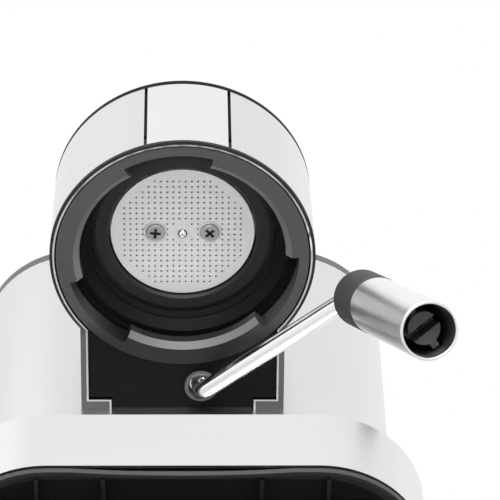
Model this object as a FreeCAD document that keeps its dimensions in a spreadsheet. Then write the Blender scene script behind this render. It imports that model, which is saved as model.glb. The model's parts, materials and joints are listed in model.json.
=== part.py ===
"""Slim espresso machine for ground coffee or pods, as a parametric FreeCAD document.

Millimetres, +Z up.  X runs across the machine (right positive), Y runs from front to back.
The origin is on the counter, under the middle of the machine's box.
Each piece is one object of the document with its own label; the label names its file.
"""
import FreeCAD, Part
import math
import os
import re

import Sketcher

document = FreeCAD.newDocument("EspressoMachine")

# ---------------------------------------------------------------------------------------------
# Driving sizes: every number that can be set by itself is one cell of the sheet.
# ---------------------------------------------------------------------------------------------
SIZES = {
    # column: a tall steel housing that stands at the back of the base
    "body_width": 146.4,
    "column_front": -38.6,
    "column_back": 95.0,
    "column_height": 287.9,
    "column_corner": 35.0,
    "column_wall": 1.0,
    "top_thickness": 4.2,
    "rim_edge": 0.3,
    "rim_opening_half": 40.0,
    "rim_opening_inset": 30.0,
    "plate_margin": 10.0,
    "plate_thickness": 1.2,
    "plate_corner": 24.0,
    "plate_vent_pitch": 9.0,
    "plate_vent_width": 3.0,
    "plate_vent_inset": 34.0,
    # base: a shallow black pan with a lip, open below
    "base_front": -136.8,
    "base_back": 150.0,
    "base_corner": 33.0,
    "rear_corner": 20.0,
    "foot_height": 5.0,
    "foot_radius": 9.0,
    "foot_stem_radius": 4.0,
    "foot_stem_length": 3.0,
    "foot_inset_x": 20.0,
    "foot_inset_y": 24.0,
    "lip_height": 2.0,
    "lip_wall": 1.1,
    "lip_setback": 2.4,
    "shell_gap": 1.5,
    "pan_depth": 7.0,
    "pan_roof": 1.5,
    "rib_thickness": 1.2,
    "rib_near": 23.3,
    "rib_far": 43.0,
    "grip_half_width": 33.0,
    "grip_sag": 1.7,
    "tab_pitch": 12.6,
    "tab_width": 1.4,
    "tab_height": 0.7,
    # drip tray
    "tray_height": 26.9,
    "skirt_wall": 1.0,
    "tray_wall": 1.6,
    "tray_gap": 0.3,
    "tray_back_gap": 2.0,
    "grid_thickness": 1.2,
    "grid_slot_width": 3.0,
    "grid_slot_pitch": 6.6,
    "grid_margin": 9.0,
    "float_x": 50.0,
    "float_y": -58.0,
    "float_stem_radius": 3.4,
    "float_body_radius": 8.0,
    "float_body_height": 6.0,
    # head: a drum on a short neck
    "head_y": -100.0,
    "group_height": 186.0,
    "head_height": 41.2,
    "head_draft": 1.1,
    "head_wall": 0.8,
    "frame_height": 1.2,
    "neck_half_width": 34.95,
    "neck_frame_wall": 1.85,
    "neck_corner_reach": 9.7,
    "neck_corner_depth": 3.3,
    "trim_drum_wall": 0.6,
    "trim_neck_wall": 0.65,
    "trim_height": 3.0,
    "trim_proud": 0.2,
    "fascia_left": -12.4,
    "fascia_right": 15.8,
    "fascia_seam": 1.05,
    "liner_wall": 1.4,
    "cap_height": 3.8,
    "cap_edge": 1.4,
    "cap_slope": 38.0,
    # brew group
    "collar_bore": 35.0,
    "lug_depth": 4.5,
    "track_clearance": 0.3,
    "collar_wall": 3.05,
    "head_margin": 2.15,
    "pipe_window_half": 26.0,
    "pipe_window_low": 8.0,
    "pipe_window_top": 6.0,
    "gasket_step": 3.7,
    "gasket_width": 6.1,
    "screen_gap": 0.7,
    "collar_height": 9.0,
    "flange_height": 5.5,
    "flange_chamfer": 2.0,
    "lug_width_angle": 44.8,
    "lug_turn_angle": 262.75,
    "recess_depth": 21.0,
    "gasket_low": 15.6,
    "screen_low": 16.9,
    "screen_thickness": 0.8,
    "screen_rim_height": 3.0,
    "hole_pitch": 2.094,
    "hole_radius": 0.37,
    "hole_rows_half": 10,
    "hole_corner_count": 14,
    "screw_spacing": 18.6,
    "screw_head_radius": 3.25,
    "screw_head_height": 1.2,
    "screw_shaft_radius": 1.6,
    "screw_length": 8.0,
    "pin_radius": 2.0,
    "group_flange": 5.8,
    "group_boss_radius": 16.0,
    "group_boss_height": 7.0,
    # neck underside and steam wand
    "neck_plate_low": 1.0,
    "neck_plate_thickness": 2.0,
    "wand_x": 6.4,
    "wand_y": -48.0,
    "wand_drop": 3.8,
    "wand_bend": 7.0,
    "wand_run": 83.5,
    "wand_plan_angle": -49.6,
    "wand_fall_angle": 21.93,
    "wand_radius": 3.2,
    "wand_bore": 2.0,
    "wand_stub": 12.0,
    "wand_clearance": 0.07,
    "socket_wall": 0.85,
    "socket_low": 1.7,
    "socket_height": 12.0,
    "grommet_inner": 4.6,
    "grommet_outer": 5.7,
    "grommet_proud": 1.0,
    "frother_plan_angle": -61.9,
    "frother_lean_angle": 27.4,
    "frother_bend": 14.0,
    "frother_grip_start": 7.5,
    "frother_grip_length": 21.5,
    "frother_spigot_length": 9.0,
    "sleeve_gap": 0.3,
    "sleeve_length": 59.7,
    "sleeve_bore": 8.4,
    "sleeve_wall": 0.95,
    "grip_proud": 0.15,
    "spigot_clearance": 0.3,
    "core_clearance": 0.8,
    "core_radius": 5.2,
    "core_arm_width": 2.4,
    "core_recess": 6.0,
    "core_slot_width": 3.0,
    "core_slot_depth": 7.0,
    # controls on the head's top
    "button_radius": 6.0,
    "button_pitch": 17.0,
    "button_forward": 24.5,
    "button_proud": 2.2,
    "button_travel": 1.5,
    "button_clearance": 0.35,
    "button_stem_radius": 2.0,
    "button_stem_length": 7.0,
    "bezel_width": 1.5,
    "bezel_proud": 0.6,
    "lens_radius": 1.2,
    "lens_forward": 13.0,
    "board_thickness": 1.6,
    "key_board_half": 26.0,
    "key_board_front": 30.5,
    "key_board_back": 17.5,
    "switch_half": 3.0,
    "switch_height": 2.6,
    # steam valve and knob
    "knob_y": 14.0,
    "knob_z": 241.0,
    "knob_radius": 17.0,
    "knob_depth": 11.5,
    "knob_gap": 0.8,
    "spindle_radius": 3.0,
    "spindle_clearance": 0.06,
    "valve_radius": 9.0,
    "valve_length": 22.0,
    "valve_inset": 10.0,
    # water tank and its dock
    "tank_gap": 3.0,
    "tank_inset": 4.0,
    "tank_wall": 2.2,
    "tank_corner": 16.0,
    "dock_height": 22.5,
    "dock_wall": 3.0,
    "lid_thickness": 4.0,
    "lid_gap": 0.4,
    "inlet_radius": 6.0,
    "inlet_height": 5.0,
    "valve_cup_radius": 9.0,
    "valve_cup_height": 8.0,
    "gland_x": 45.0,
    "gland_z": 25.0,
    "gland_radius": 7.5,
    "gland_bore": 3.6,
    "gland_proud": 1.6,
    # inside the column
    "chassis_y": 28.0,
    "chassis_sheet": 2.0,
    "chassis_half": 60.0,
    "boiler_half": 37.0,
    "boiler_depth": 46.0,
    "boiler_low": 210.0,
    "boiler_body": 44.0,
    "boiler_cover": 14.0,
    "pump_x": -25.0,
    "pump_y": -5.0,
    "pump_low": 52.0,
    "pump_radius": 13.0,
    "pump_length": 92.0,
    "coil_size": 42.0,
    "coil_length": 38.0,
    "tube_radius": 2.5,
    "hose_radius": 3.5,
    "cover_thickness": 2.8,
    "cover_vent_pitch": 7.0,
    "cover_vent_width": 3.2,
    "cover_vent_low": 45.0,
    "cover_vent_top": 18.0,
    "cover_screw_low": 60.0,
    "cover_screw_drop": 14.0,
    "cover_screw_inset": 6.0,
    "cover_hole_radius": 1.8,
    "passage_half": 9.0,
    "passage_height": 21.0,
    "lug_reach": 12.0,
    "lug_half_height": 7.0,
    "board_half": 45.0,
    "board_low": 120.0,
    "board_top": 215.0,
    "board_standoff": 6.0,
    "relay_depth": 14.0,
    "capacitor_radius": 9.0,
    "capacitor_depth": 22.0,
    "mount_half": 16.0,
    "mount_height": 6.0,
    "meter_radius": 14.0,
    "meter_height": 16.0,
    "meter_x": 34.0,
    "meter_y": 4.0,
    "meter_z": 60.0,
    "nozzle_radius": 3.0,
    "thermostat_radius": 8.0,
    "thermostat_height": 8.0,
    "tube_wall": 0.8,
    "hose_wall": 1.2,
    "tube_bend": 6.0,
    "bolt_inset": 6.0,
}

# Sizes that follow from others, so that each fit keeps its clearance when one size is changed
SIZES.update({
    "lug_radius": "=collar_bore + lug_depth",
    "track_radius": "=lug_radius + track_clearance",
    "collar_radius": "=track_radius + collar_wall",
    "head_radius": "=collar_radius + head_margin",
    "gasket_outer": "=collar_bore - gasket_step",
    "gasket_inner": "=gasket_outer - gasket_width",
    "screen_radius": "=gasket_inner - screen_gap",
    "sleeve_outer": "=sleeve_bore + sleeve_wall",
    "frother_grip_radius": "=sleeve_outer + grip_proud",
    "frother_spigot_radius": "=sleeve_bore - spigot_clearance",
    "core_arm_reach": "=sleeve_bore - core_clearance",
})

sheet = document.addObject("Spreadsheet::Sheet", "Sizes")
for row, (alias, number) in enumerate(SIZES.items(), start=1):
    sheet.set("A%d" % row, alias)
    sheet.set("B%d" % row, str(number))
    sheet.setAlias("B%d" % row, alias)
document.recompute()

SIZE_NAME = re.compile(r"\b[a-z]+(?:_[a-z]+)+\b")
UP = FreeCAD.Vector(0, 0, 1)


def bound(text):
    """Point every size name of an expression at its cell of the sheet."""
    return SIZE_NAME.sub(lambda found: "Sizes." + found.group(0), text)


def value(text):
    """The number that an expression on the sheet's sizes gives now."""
    result = sheet.evalExpression(bound(text))
    return float(getattr(result, "Value", result))


# ---------------------------------------------------------------------------------------------
# Drawing helpers: outlines whose every point is bound to the sheet
# ---------------------------------------------------------------------------------------------
def pin_point(rules, piece, position, x, y):
    """Note the two rules that hold one point of a sketch at two expressions."""
    rules.append((Sketcher.Constraint("DistanceX", -1, 1, piece, position, value(x)), x))
    rules.append((Sketcher.Constraint("DistanceY", -1, 1, piece, position, value(y)), y))


def add_rules(sketch, rules):
    """Add all noted rules in one go and bind those that carry an expression."""
    numbers = sketch.addConstraint([rule for rule, text in rules])
    for number, (rule, text) in zip(numbers, rules):
        if text is not None:
            sketch.setExpression("Constraints[%d]" % number, bound(text))


def draw_outline(sketch, spots, bends):
    """Closed outline through spots; bends gives the arcs as start index: (radius, centre, turns left)."""
    first = sketch.GeometryCount
    count = len(spots)
    points = [FreeCAD.Vector(value(x), value(y), 0) for x, y in spots]
    shapes = []
    ends = []
    for index, start in enumerate(points):
        finish = points[(index + 1) % count]
        if index not in bends:
            shapes.append(Part.LineSegment(start, finish))
            ends.append((1, 2))
            continue
        radius, centre, left = bends[index]
        low, high = [math.atan2(point.y - centre.y, point.x - centre.x)
                     for point in ((start, finish) if left else (finish, start))]
        if high < low:
            high += 2 * math.pi
        shapes.append(Part.ArcOfCircle(Part.Circle(centre, UP, value(radius)), low, high))
        ends.append((1, 2) if left else (2, 1))
    sketch.addGeometry(shapes, False)
    rules = []
    for index in range(count):
        following = (index + 1) % count
        rules.append((Sketcher.Constraint("Coincident", first + index, ends[index][1],
                                          first + following, ends[following][0]), None))
    for index, (x, y) in enumerate(spots):
        pin_point(rules, first + index, ends[index][0], x, y)
    for index, (radius, centre, left) in bends.items():
        rules.append((Sketcher.Constraint("Radius", first + index, value(radius)), radius))
    add_rules(sketch, rules)


def corners(*points):
    """Outline through points (x, y) or (x, y, radius); a radius rounds a square corner."""
    def draw(sketch):
        flat = [(value(point[0]), value(point[1])) for point in points]
        spots = []
        bends = {}
        for index, point in enumerate(points):
            if len(point) == 2:
                spots.append((point[0], point[1]))
                continue
            x, y, radius = point
            here = flat[index]
            sides = []
            for other in (flat[index - 1], flat[(index + 1) % len(flat)]):
                step = (other[0] - here[0], other[1] - here[1])
                length = math.hypot(*step)
                sides.append((round(step[0] / length), round(step[1] / length)))
            before, after = sides
            size = value(radius)
            centre = FreeCAD.Vector(here[0] + (before[0] + after[0]) * size,
                                    here[1] + (before[1] + after[1]) * size, 0)
            left = before[0] * after[1] - before[1] * after[0] < 0
            bends[len(spots)] = (radius, centre, left)
            for side in sides:
                spots.append(("(%s) + (%d) * (%s)" % (x, side[0], radius),
                              "(%s) + (%d) * (%s)" % (y, side[1], radius)))
        draw_outline(sketch, spots, bends)
    return draw


def rectangle(left, right, front, back, radius=None):
    """Rectangle between two X and two Y values, with all corners rounded if a radius is given."""
    extra = () if radius is None else (radius,)
    return corners((left, front) + extra, (right, front) + extra, (right, back) + extra, (left, back) + extra)


def circle(x, y, radius):
    """Circle about a bound centre."""
    def draw(sketch):
        centre = FreeCAD.Vector(value(x), value(y), 0)
        number = sketch.addGeometry(Part.Circle(centre, UP, value(radius)), False)
        rules = [(Sketcher.Constraint("Radius", number, value(radius)), radius)]
        pin_point(rules, number, 3, x, y)
        add_rules(sketch, rules)
    return draw


def keyhole(radius, half, back):
    """Plan of the head: a circle about the head's axis, joined by a straight neck to the column."""
    def draw(sketch):
        meet = "sqrt((%s)^2 - (%s)^2)" % (radius, half)
        spots = [("-(%s)" % half, meet), (half, meet), (half, back), ("-(%s)" % half, back)]
        draw_outline(sketch, spots, {0: (radius, FreeCAD.Vector(0, 0, 0), True)})
    return draw


def sector(inner, outer, start, finish):
    """Part of a ring between two angles in degrees, about the sketch's origin."""
    def draw(sketch):
        spots = [("(%s) * cos(%s)" % (radius, angle), "(%s) * sin(%s)" % (radius, angle))
                 for radius, angle in ((outer, start), (outer, finish), (inner, finish), (inner, start))]
        centre = FreeCAD.Vector(0, 0, 0)
        draw_outline(sketch, spots, {0: (outer, centre, True), 2: (inner, centre, False)})
    return draw


# ---------------------------------------------------------------------------------------------
# Body helpers: each makes one feature of a PartDesign body
# ---------------------------------------------------------------------------------------------
def new_body(label, x="0", y="0", z="0"):
    """Empty body with its place bound to the sheet."""
    body = document.addObject("PartDesign::Body", label)
    body.Label = label
    for axis, text in (("x", x), ("y", y), ("z", z)):
        if text != "0":
            body.setExpression("Placement.Base." + axis, bound(text))
    return body


def new_sketch(body, outlines, plane, offset):
    """Sketch on one of the body's own planes, moved along that plane's normal."""
    sketch = body.newObject("Sketcher::SketchObject", body.Label + "_sketch")
    role = [face for face in body.Origin.OriginFeatures if face.Role == plane][0]
    sketch.AttachmentSupport = [(role, "")]
    sketch.MapMode = "FlatFace"
    if offset != "0":
        sketch.setExpression("AttachmentOffset.Base.z", bound(offset))
    for draw in outlines:
        draw(sketch)
    return sketch


def pad(body, outlines, low, height, plane="XY_Plane", draft=None):
    """Add a prism that starts at low and grows along +Z (or +Y on XZ_Plane, +X on YZ_Plane)."""
    backwards = plane == "XZ_Plane"
    sketch = new_sketch(body, outlines, plane, "-(%s)" % low if backwards else low)
    feature = body.newObject("PartDesign::Pad", body.Label + "_pad")
    feature.Profile = sketch
    feature.Reversed = backwards
    feature.setExpression("Length", bound(height))
    if draft:
        feature.setExpression("TaperAngle", bound("-(%s)" % draft))
    body.Tip = feature
    return feature


def cut(body, outlines, low, height, plane="XY_Plane", draft=None):
    """Remove a prism that starts at low and grows along the same axis as a pad."""
    backwards = plane == "XZ_Plane"
    sketch = new_sketch(body, outlines, plane, "-(%s)" % low if backwards else low)
    feature = body.newObject("PartDesign::Pocket", body.Label + "_cut")
    feature.Profile = sketch
    feature.Reversed = not backwards
    feature.setExpression("Length", bound(height))
    if draft:
        feature.setExpression("TaperAngle", bound("-(%s)" % draft))
    body.Tip = feature
    return feature


def turn(body, profile):
    """Add a turned shape: a closed profile of (radius, height) points about the body's Z axis."""
    sketch = new_sketch(body, [corners(*profile)], "XZ_Plane", "0")
    feature = body.newObject("PartDesign::Revolution", body.Label + "_turn")
    feature.Profile = sketch
    feature.ReferenceAxis = (sketch, ["V_Axis"])
    feature.Angle = 360
    body.Tip = feature
    return feature


def soften(body, radius, chosen, kind="Fillet"):
    """Fillet or chamfer the edges of the body's last feature that chosen(edge) picks."""
    document.recompute()
    base = body.Tip
    names = ["Edge%d" % (index + 1) for index, edge in enumerate(base.Shape.Edges) if chosen(edge)]
    feature = body.newObject("PartDesign::" + kind, body.Label + "_" + kind.lower())
    feature.Base = (base, names)
    feature.setExpression("Radius" if kind == "Fillet" else "Size", bound(radius))
    body.Tip = feature
    return feature


def at_level(level):
    """Picks the edges that lie wholly at one height of the body."""
    def chosen(edge):
        box = edge.BoundBox
        return abs(box.ZMin - level) < 1e-4 and abs(box.ZMax - level) < 1e-4
    return chosen


def slab(label, outlines, low, height, x="0", y="0", z="0"):
    """One-pad body: a flat piece of constant outline."""
    body = new_body(label, x, y, z)
    pad(body, outlines, low, height)
    return body


def turned(label, profile, x="0", y="0", z="0"):
    """One-revolution body."""
    body = new_body(label, x, y, z)
    turn(body, profile)
    return body


def feature_from_shape(label, shape, placement=None):
    """Plain feature for what neither sketches nor primitives make well."""
    piece = document.addObject("Part::Feature", label)
    piece.Label = label
    piece.Shape = shape
    if placement is not None:
        piece.Placement = placement
    return piece


def bent_path(points, bends):
    """Wire of straight runs through points, joined by tangent arcs of the given radii."""
    edges = []
    last = points[0]
    for index in range(1, len(points) - 1):
        corner = points[index]
        into = (corner - points[index - 1]).normalize()
        away = (points[index + 1] - corner).normalize()
        half_turn = into.getAngle(away) / 2
        reach = bends[index - 1] * math.tan(half_turn)
        start = corner - into * reach
        finish = corner + away * reach
        inward = (away - into).normalize()
        middle = corner + inward * (bends[index - 1] / math.cos(half_turn) - bends[index - 1])
        edges.append(Part.LineSegment(last, start).toShape())
        edges.append(Part.Arc(start, middle, finish).toShape())
        last = finish
    edges.append(Part.LineSegment(last, points[-1]).toShape())
    return Part.Wire(edges)


def bent_rod(points, bends, radius):
    """Round bar along a bent path."""
    path = bent_path(points, bends)
    ring = Part.Wire([Part.makeCircle(radius, points[0], points[1] - points[0])])
    return path.makePipeShell([ring], True, True)


def pipe(points, bend, radius, wall):
    """Hollow tube along a bent path with one bend radius."""
    bends = [bend] * (len(points) - 2)
    return bent_rod(points, bends, radius).cut(bent_rod(points, bends, radius - wall))


def cross_screw(head_radius, head_height, shaft_radius, length, cross_angle):
    """Pan-head cross-recess screw: head below z = 0 and shaft above it."""
    head = Part.makeCylinder(head_radius, head_height, FreeCAD.Vector(0, 0, -head_height))
    rim = [edge for edge in head.Edges if abs(edge.BoundBox.ZMax + head_height) < 1e-6]
    head = head.makeFillet(head_height * 0.6, rim)
    shaft = Part.makeCylinder(shaft_radius, length)
    arm = head_radius * 1.15
    blade = head_radius * 0.3
    for turn_angle in (cross_angle, cross_angle + 90):
        slot = Part.makeBox(arm, blade, head_height * 0.7,
                            FreeCAD.Vector(-arm / 2, -blade / 2, -head_height - 0.01))
        slot.rotate(FreeCAD.Vector(0, 0, 0), UP, turn_angle)
        head = head.cut(slot)
    return head.fuse(shaft).removeSplitter()


def vector(x, y, z):
    """Point from three expressions."""
    return FreeCAD.Vector(value(x), value(y), value(z))


# ---------------------------------------------------------------------------------------------
# Levels and widths that several pieces share
# ---------------------------------------------------------------------------------------------
half = "(body_width / 2)"
lip_top = "(foot_height + lip_height)"
shell_low = "(foot_height + lip_height + shell_gap)"
roof_low = "(foot_height + pan_depth)"
roof_top = "(foot_height + pan_depth + pan_roof)"
tray_top = "(foot_height + lip_height + shell_gap + tray_height)"
tray_back = "(column_front - tray_back_gap)"
dock_top = "(foot_height + pan_depth + pan_roof + dock_height)"
tank_front = "(column_back + tank_gap)"
tank_back = "(base_back - tank_inset / 2)"
tank_half = "(body_width / 2 - tank_inset)"
tank_low = "(foot_height + pan_depth + pan_roof + dock_height + 0.3)"
machine_top = "(column_height + top_thickness)"
tank_top = "(column_height + top_thickness - lid_thickness - lid_gap)"
neck_back = "(column_front - head_y)"


def body_outline(inset, front, back, front_corner, back_corner=None):
    """Plan of the machine: rounded at the front, and at the back if a radius is given."""
    side = "%s - (%s)" % (half, inset)
    near = "%s + (%s)" % (front, inset)
    round_front = "%s - (%s)" % (front_corner, inset)
    if back_corner is None:
        far = [(side, back), ("-(%s)" % side, back)]
    else:
        round_back = "%s - (%s)" % (back_corner, inset)
        limit = "%s - (%s)" % (back, inset)
        far = [(side, limit, round_back), ("-(%s)" % side, limit, round_back)]
    return corners(("-(%s)" % side, near, round_front), (side, near, round_front), *far)


# ---------------------------------------------------------------------------------------------
# Base
# ---------------------------------------------------------------------------------------------
def make_base_plate():
    """Black pan, open below: an outer lip, a set-back wall that the shells hide, a roof and ribs."""
    body = new_body("base_plate")
    whole = ("base_front", "base_back", "base_corner", "rear_corner")
    pad(body, [body_outline("0", *whole)], "foot_height", "lip_height")
    cut(body, [body_outline("lip_wall", *whole)], "foot_height - 1", "lip_height + 2")
    pad(body, [body_outline("0.02", *whole), body_outline("lip_setback + lip_wall", *whole)],
        lip_top + " - 0.6", "0.6")
    pad(body, [body_outline("lip_setback", *whole)], lip_top + " - 0.3",
        roof_top + " - " + lip_top + " + 0.3")
    cut(body, [body_outline("lip_setback + lip_wall", *whole)], lip_top + " - 1",
        roof_low + " - " + lip_top + " + 1")
    rib_front = "(base_front + lip_setback + lip_wall / 2)"
    rib_back = "(base_back - lip_setback - lip_wall / 2)"
    for place in ("rib_near", "-rib_near", "rib_far", "-rib_far"):
        pad(body, [rectangle(place + " - rib_thickness / 2", place + " + rib_thickness / 2",
                             rib_front, rib_back)],
            "foot_height + 0.3", "pan_depth")
    # finger grip: the lip dips in the middle of the front
    chord = "grip_half_width"
    bow = "((grip_half_width^2 + grip_sag^2) / (2 * grip_sag))"
    cut(body, [rectangle("-" + chord, chord, "foot_height - 0.1", lip_top + " + 0.05")],
        "base_front - 1", "lip_wall + 1.6", plane="XZ_Plane")
    ends = [("-" + chord, "foot_height"), (chord, "foot_height"), (chord, lip_top), ("-" + chord, lip_top)]
    rise = value(bow) - value("grip_sag")
    low_centre = FreeCAD.Vector(0, value("foot_height") + rise, 0)
    high_centre = FreeCAD.Vector(0, value(lip_top) + rise, 0)
    pad(body, [lambda sketch: draw_outline(sketch, ends, {0: (bow, low_centre, True),
                                                          2: (bow, high_centre, False)})],
        "base_front", "lip_wall", plane="XZ_Plane")
    pad(body, [rectangle("-" + chord, chord, "foot_height + lip_height - grip_sag - 0.2", lip_top)],
        "base_front + lip_wall - 0.1", "1.0", plane="XZ_Plane")
    # small pegs on the set-back wall, in line with the dip
    for step in (-2, -1, 0, 1, 2):
        middle = "%d * tab_pitch" % step
        dip = "grip_sag * (1 - (%s)^2 / grip_half_width^2)" % middle
        low = "%s - %s + 0.9" % (lip_top, dip)
        pad(body, [rectangle(middle + " - tab_width / 2", middle + " + tab_width / 2", low,
                             low + " + tab_height")],
            "base_front + 1", "lip_setback", plane="XZ_Plane")
    # bosses that hold the feet
    for x, y in foot_places():
        pad(body, [circle(x, y, "foot_radius + 0.8")], "foot_height + 0.5", "pan_depth")
        cut(body, [circle(x, y, "foot_stem_radius + 0.02")], "foot_height", "foot_stem_length + 1")
    return body


def foot_places():
    """Centres of the four feet."""
    return [(side + "(%s - foot_inset_x)" % half, y)
            for side in ("", "-") for y in ("base_front + foot_inset_y", "base_back - foot_inset_y")]


def make_feet():
    """Four rubber feet with stems that press into the pan's bosses."""
    body = new_body("feet")
    pad(body, [circle(x, y, "foot_radius") for x, y in foot_places()], "0", "foot_height + 0.5")
    pad(body, [circle(x, y, "foot_stem_radius") for x, y in foot_places()], "foot_height", "foot_stem_length")
    return body


def make_base_deck():
    """Plastic bridge behind the tray that fills the corners beside the column's rounded front."""
    body = new_body("base_deck")
    deck_front = tray_back + " + 0.4"
    pad(body, [rectangle("-" + half, half, deck_front, "column_front + column_corner + 6")],
        roof_top, tray_top + " - " + roof_top + " - 0.6")
    cut(body, [body_outline("-0.15", "column_front", "column_front + column_corner + 8", "column_corner")],
        roof_top + " - 1", "tray_height + 10")
    return body


# ---------------------------------------------------------------------------------------------
# Column
# ---------------------------------------------------------------------------------------------
def make_column_shell():
    """Bent steel sheet: front wall and both sides, open at the back."""
    body = new_body("column_shell")
    pad(body, [body_outline("0", "column_front", "column_back", "column_corner")],
        shell_low, "column_height - " + shell_low)
    inner = corners(("-(%s - column_wall)" % half, "column_front + column_wall",
                     "column_corner - column_wall"),
                    (half + " - column_wall", "column_front + column_wall", "column_corner - column_wall"),
                    (half + " - column_wall", "column_back + 2"), ("-(%s - column_wall)" % half,
                                                                   "column_back + 2"))
    cut(body, [inner], shell_low + " - 1", "column_height")
    # the front wall stands on the base's roof; only the sides hang down over its set-back wall
    hidden = half + " - lip_setback + 0.1"
    cut(body, [rectangle("-(%s)" % hidden, hidden, "column_front - 2", "column_back + 2")],
        shell_low + " - 1", roof_top + " - %s + 1.1" % shell_low)
    # window for the pipes behind the neck, and the hole for the steam spindle
    cut(body, [rectangle("-pipe_window_half", "pipe_window_half", "group_height + pipe_window_low",
                         "group_height + head_height - pipe_window_top", "4")],
        "column_front - 2", "column_wall + 4", plane="XZ_Plane")
    cut(body, [circle("knob_y", "knob_z", "spindle_radius + 1.2")],
        "-%s - 2" % half, "column_wall + 4", plane="YZ_Plane")
    return body


def make_top_frame():
    """Dark rim that closes the column's top and carries the cup plate."""
    body = slab("top_frame", [body_outline("0", "column_front", "column_back", "column_corner")],
                "0", "top_thickness", z="column_height")
    margin = "plate_margin - 0.3"
    cut(body, [rectangle("-%s + %s" % (half, margin), "%s - (%s)" % (half, margin),
                         "column_front + " + margin, "column_back - (%s)" % margin, "plate_corner + 0.3")],
        "top_thickness - plate_thickness", "plate_thickness + 1")
    cut(body, [rectangle("-rim_opening_half", "rim_opening_half", "column_front + rim_opening_inset",
                         "column_back - rim_opening_inset", "6")], "-1", "top_thickness + 2")
    soften(body, "rim_edge", at_level(value("top_thickness")))
    return body


def make_cup_plate():
    """Steel warming plate for cups, with long vents over the boiler."""
    plate = rectangle("-%s + plate_margin" % half, "%s - plate_margin" % half,
                      "column_front + plate_margin", "column_back - plate_margin", "plate_corner")
    body = slab("cup_plate", [plate], "0", "plate_thickness", z=machine_top + " - plate_thickness")
    slots = [rectangle("%d * plate_vent_pitch - plate_vent_width / 2" % step,
                       "%d * plate_vent_pitch + plate_vent_width / 2" % step, "column_front + plate_vent_inset",
                       "column_back - plate_vent_inset",
                       "plate_vent_width / 2 - 0.01") for step in range(-4, 5)]
    cut(body, slots, "-1", "plate_thickness + 2")
    return body


def make_rear_cover():
    """Plastic wall that closes the column behind, with vents and a passage for the hose."""
    body = new_body("rear_cover")
    inner = half + " - column_wall - 0.2"
    pad(body, [rectangle("-(%s)" % inner, inner, roof_top, "column_height - 0.5")],
        "column_back - cover_thickness", "cover_thickness", plane="XZ_Plane")
    vents = [rectangle("%d * cover_vent_pitch - cover_vent_width / 2" % step,
                       "%d * cover_vent_pitch + cover_vent_width / 2" % step,
                       "column_height - cover_vent_low", "column_height - cover_vent_top")
             for step in range(-6, 7)]
    holes = [circle(x, z, "cover_hole_radius") for x, z in cover_screw_places()]
    passage = [rectangle("-passage_half", "passage_half", roof_top + " + 1",
                         roof_top + " + 1 + passage_height")]
    cut(body, vents + holes + passage, "column_back - cover_thickness - 1", "cover_thickness + 2",
        plane="XZ_Plane")
    return body


def cover_screw_places():
    """Centres (X, Z) of the rear cover's four screws."""
    return [(side + "(chassis_half - cover_screw_inset)", z)
            for side in ("", "-") for z in ("cover_screw_low", "column_height - cover_screw_drop")]


def make_cover_screws():
    """Four screws that hold the rear cover to the chassis."""
    screws = []
    for x, z in cover_screw_places():
        screw = cross_screw(2.8, 1.6, 1.5, 9.0, 20)
        screw.rotate(FreeCAD.Vector(0, 0, 0), FreeCAD.Vector(1, 0, 0), 90)
        screw.translate(vector(x, "column_back", z))
        screws.append(screw)
    return feature_from_shape("cover_screws", Part.makeCompound(screws))


def make_chassis():
    """Folded sheet frame: a wall that carries the boiler and pump, two webs and four screw lugs."""
    body = new_body("chassis")
    web_back = "(column_back - cover_thickness - 0.2)"
    high = "column_height - 2"
    pad(body, [corners(("-chassis_half", "chassis_y"), ("chassis_half", "chassis_y"),
                       ("chassis_half", web_back),
                       ("chassis_half - chassis_sheet", web_back),
                       ("chassis_half - chassis_sheet", "chassis_y + chassis_sheet"),
                       ("-chassis_half + chassis_sheet", "chassis_y + chassis_sheet"),
                       ("-chassis_half + chassis_sheet", web_back), ("-chassis_half", web_back))],
        roof_top, high + " - " + roof_top)
    for x, z in cover_screw_places():
        near = "chassis_half - chassis_sheet / 2"
        far = "chassis_half - lug_reach"
        inner, outer = (far, near) if not x.startswith("-") else ("-(%s)" % near, "-(%s)" % far)
        pad(body, [rectangle(inner, outer, z + " - lug_half_height", z + " + lug_half_height"),
                   circle(x, z, "1.7")],
            web_back + " - chassis_sheet", "chassis_sheet", plane="XZ_Plane")
    openings = [rectangle("-50", "50", roof_top + " + 1", "pump_low - 14", "5"),
                rectangle("-30", "30", "column_height - 40", "column_height - 18", "5")]
    cut(body, openings, "chassis_y - 1", "chassis_sheet + 2", plane="XZ_Plane")
    for level in ("boiler_low - 3.4", "pump_low - 9"):
        pad(body, [rectangle("-boiler_half - 3", "boiler_half + 3", "chassis_y - boiler_depth",
                             "chassis_y + 0.5")],
            level, "chassis_sheet")
    cut(body, [circle("pump_x", "pump_y", "6"), circle("1", "4", "5"), circle("34", "4", "5")],
        "pump_low - 12", "10")
    cut(body, [circle("pump_x + 8", "pump_y", "5")], "boiler_low - 5", "6")
    return body


# ---------------------------------------------------------------------------------------------
# Head
# ---------------------------------------------------------------------------------------------
def make_head_shell():
    """Steel drum and neck, with a window in front for the separate fascia strip."""
    body = new_body("head_shell", y="head_y", z="group_height")
    pad(body, [keyhole("head_radius", "neck_half_width", neck_back)], "frame_height",
        "head_height - frame_height", draft="head_draft")
    cut(body, [keyhole("head_radius - head_wall", "neck_half_width - head_wall", neck_back + " - head_wall")],
        "frame_height", "head_height - frame_height + 0.01", draft="head_draft")
    inner = "(neck_half_width - head_wall - 3)"
    cut(body, [rectangle("-" + inner, inner, neck_back + " - 4", neck_back + " + 4")], "-1",
        "head_height - 3")
    cut(body, [rectangle("fascia_left - fascia_seam / 2", "fascia_right + fascia_seam / 2",
                         "-head_radius - 2", "-head_radius * 0.8")], "-1", "head_height + 2")
    cut(body, [rectangle("-head_radius - 5", "head_radius + 5", neck_back, neck_back + " + 10")],
        "-1", "head_height + 2")
    return body


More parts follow.
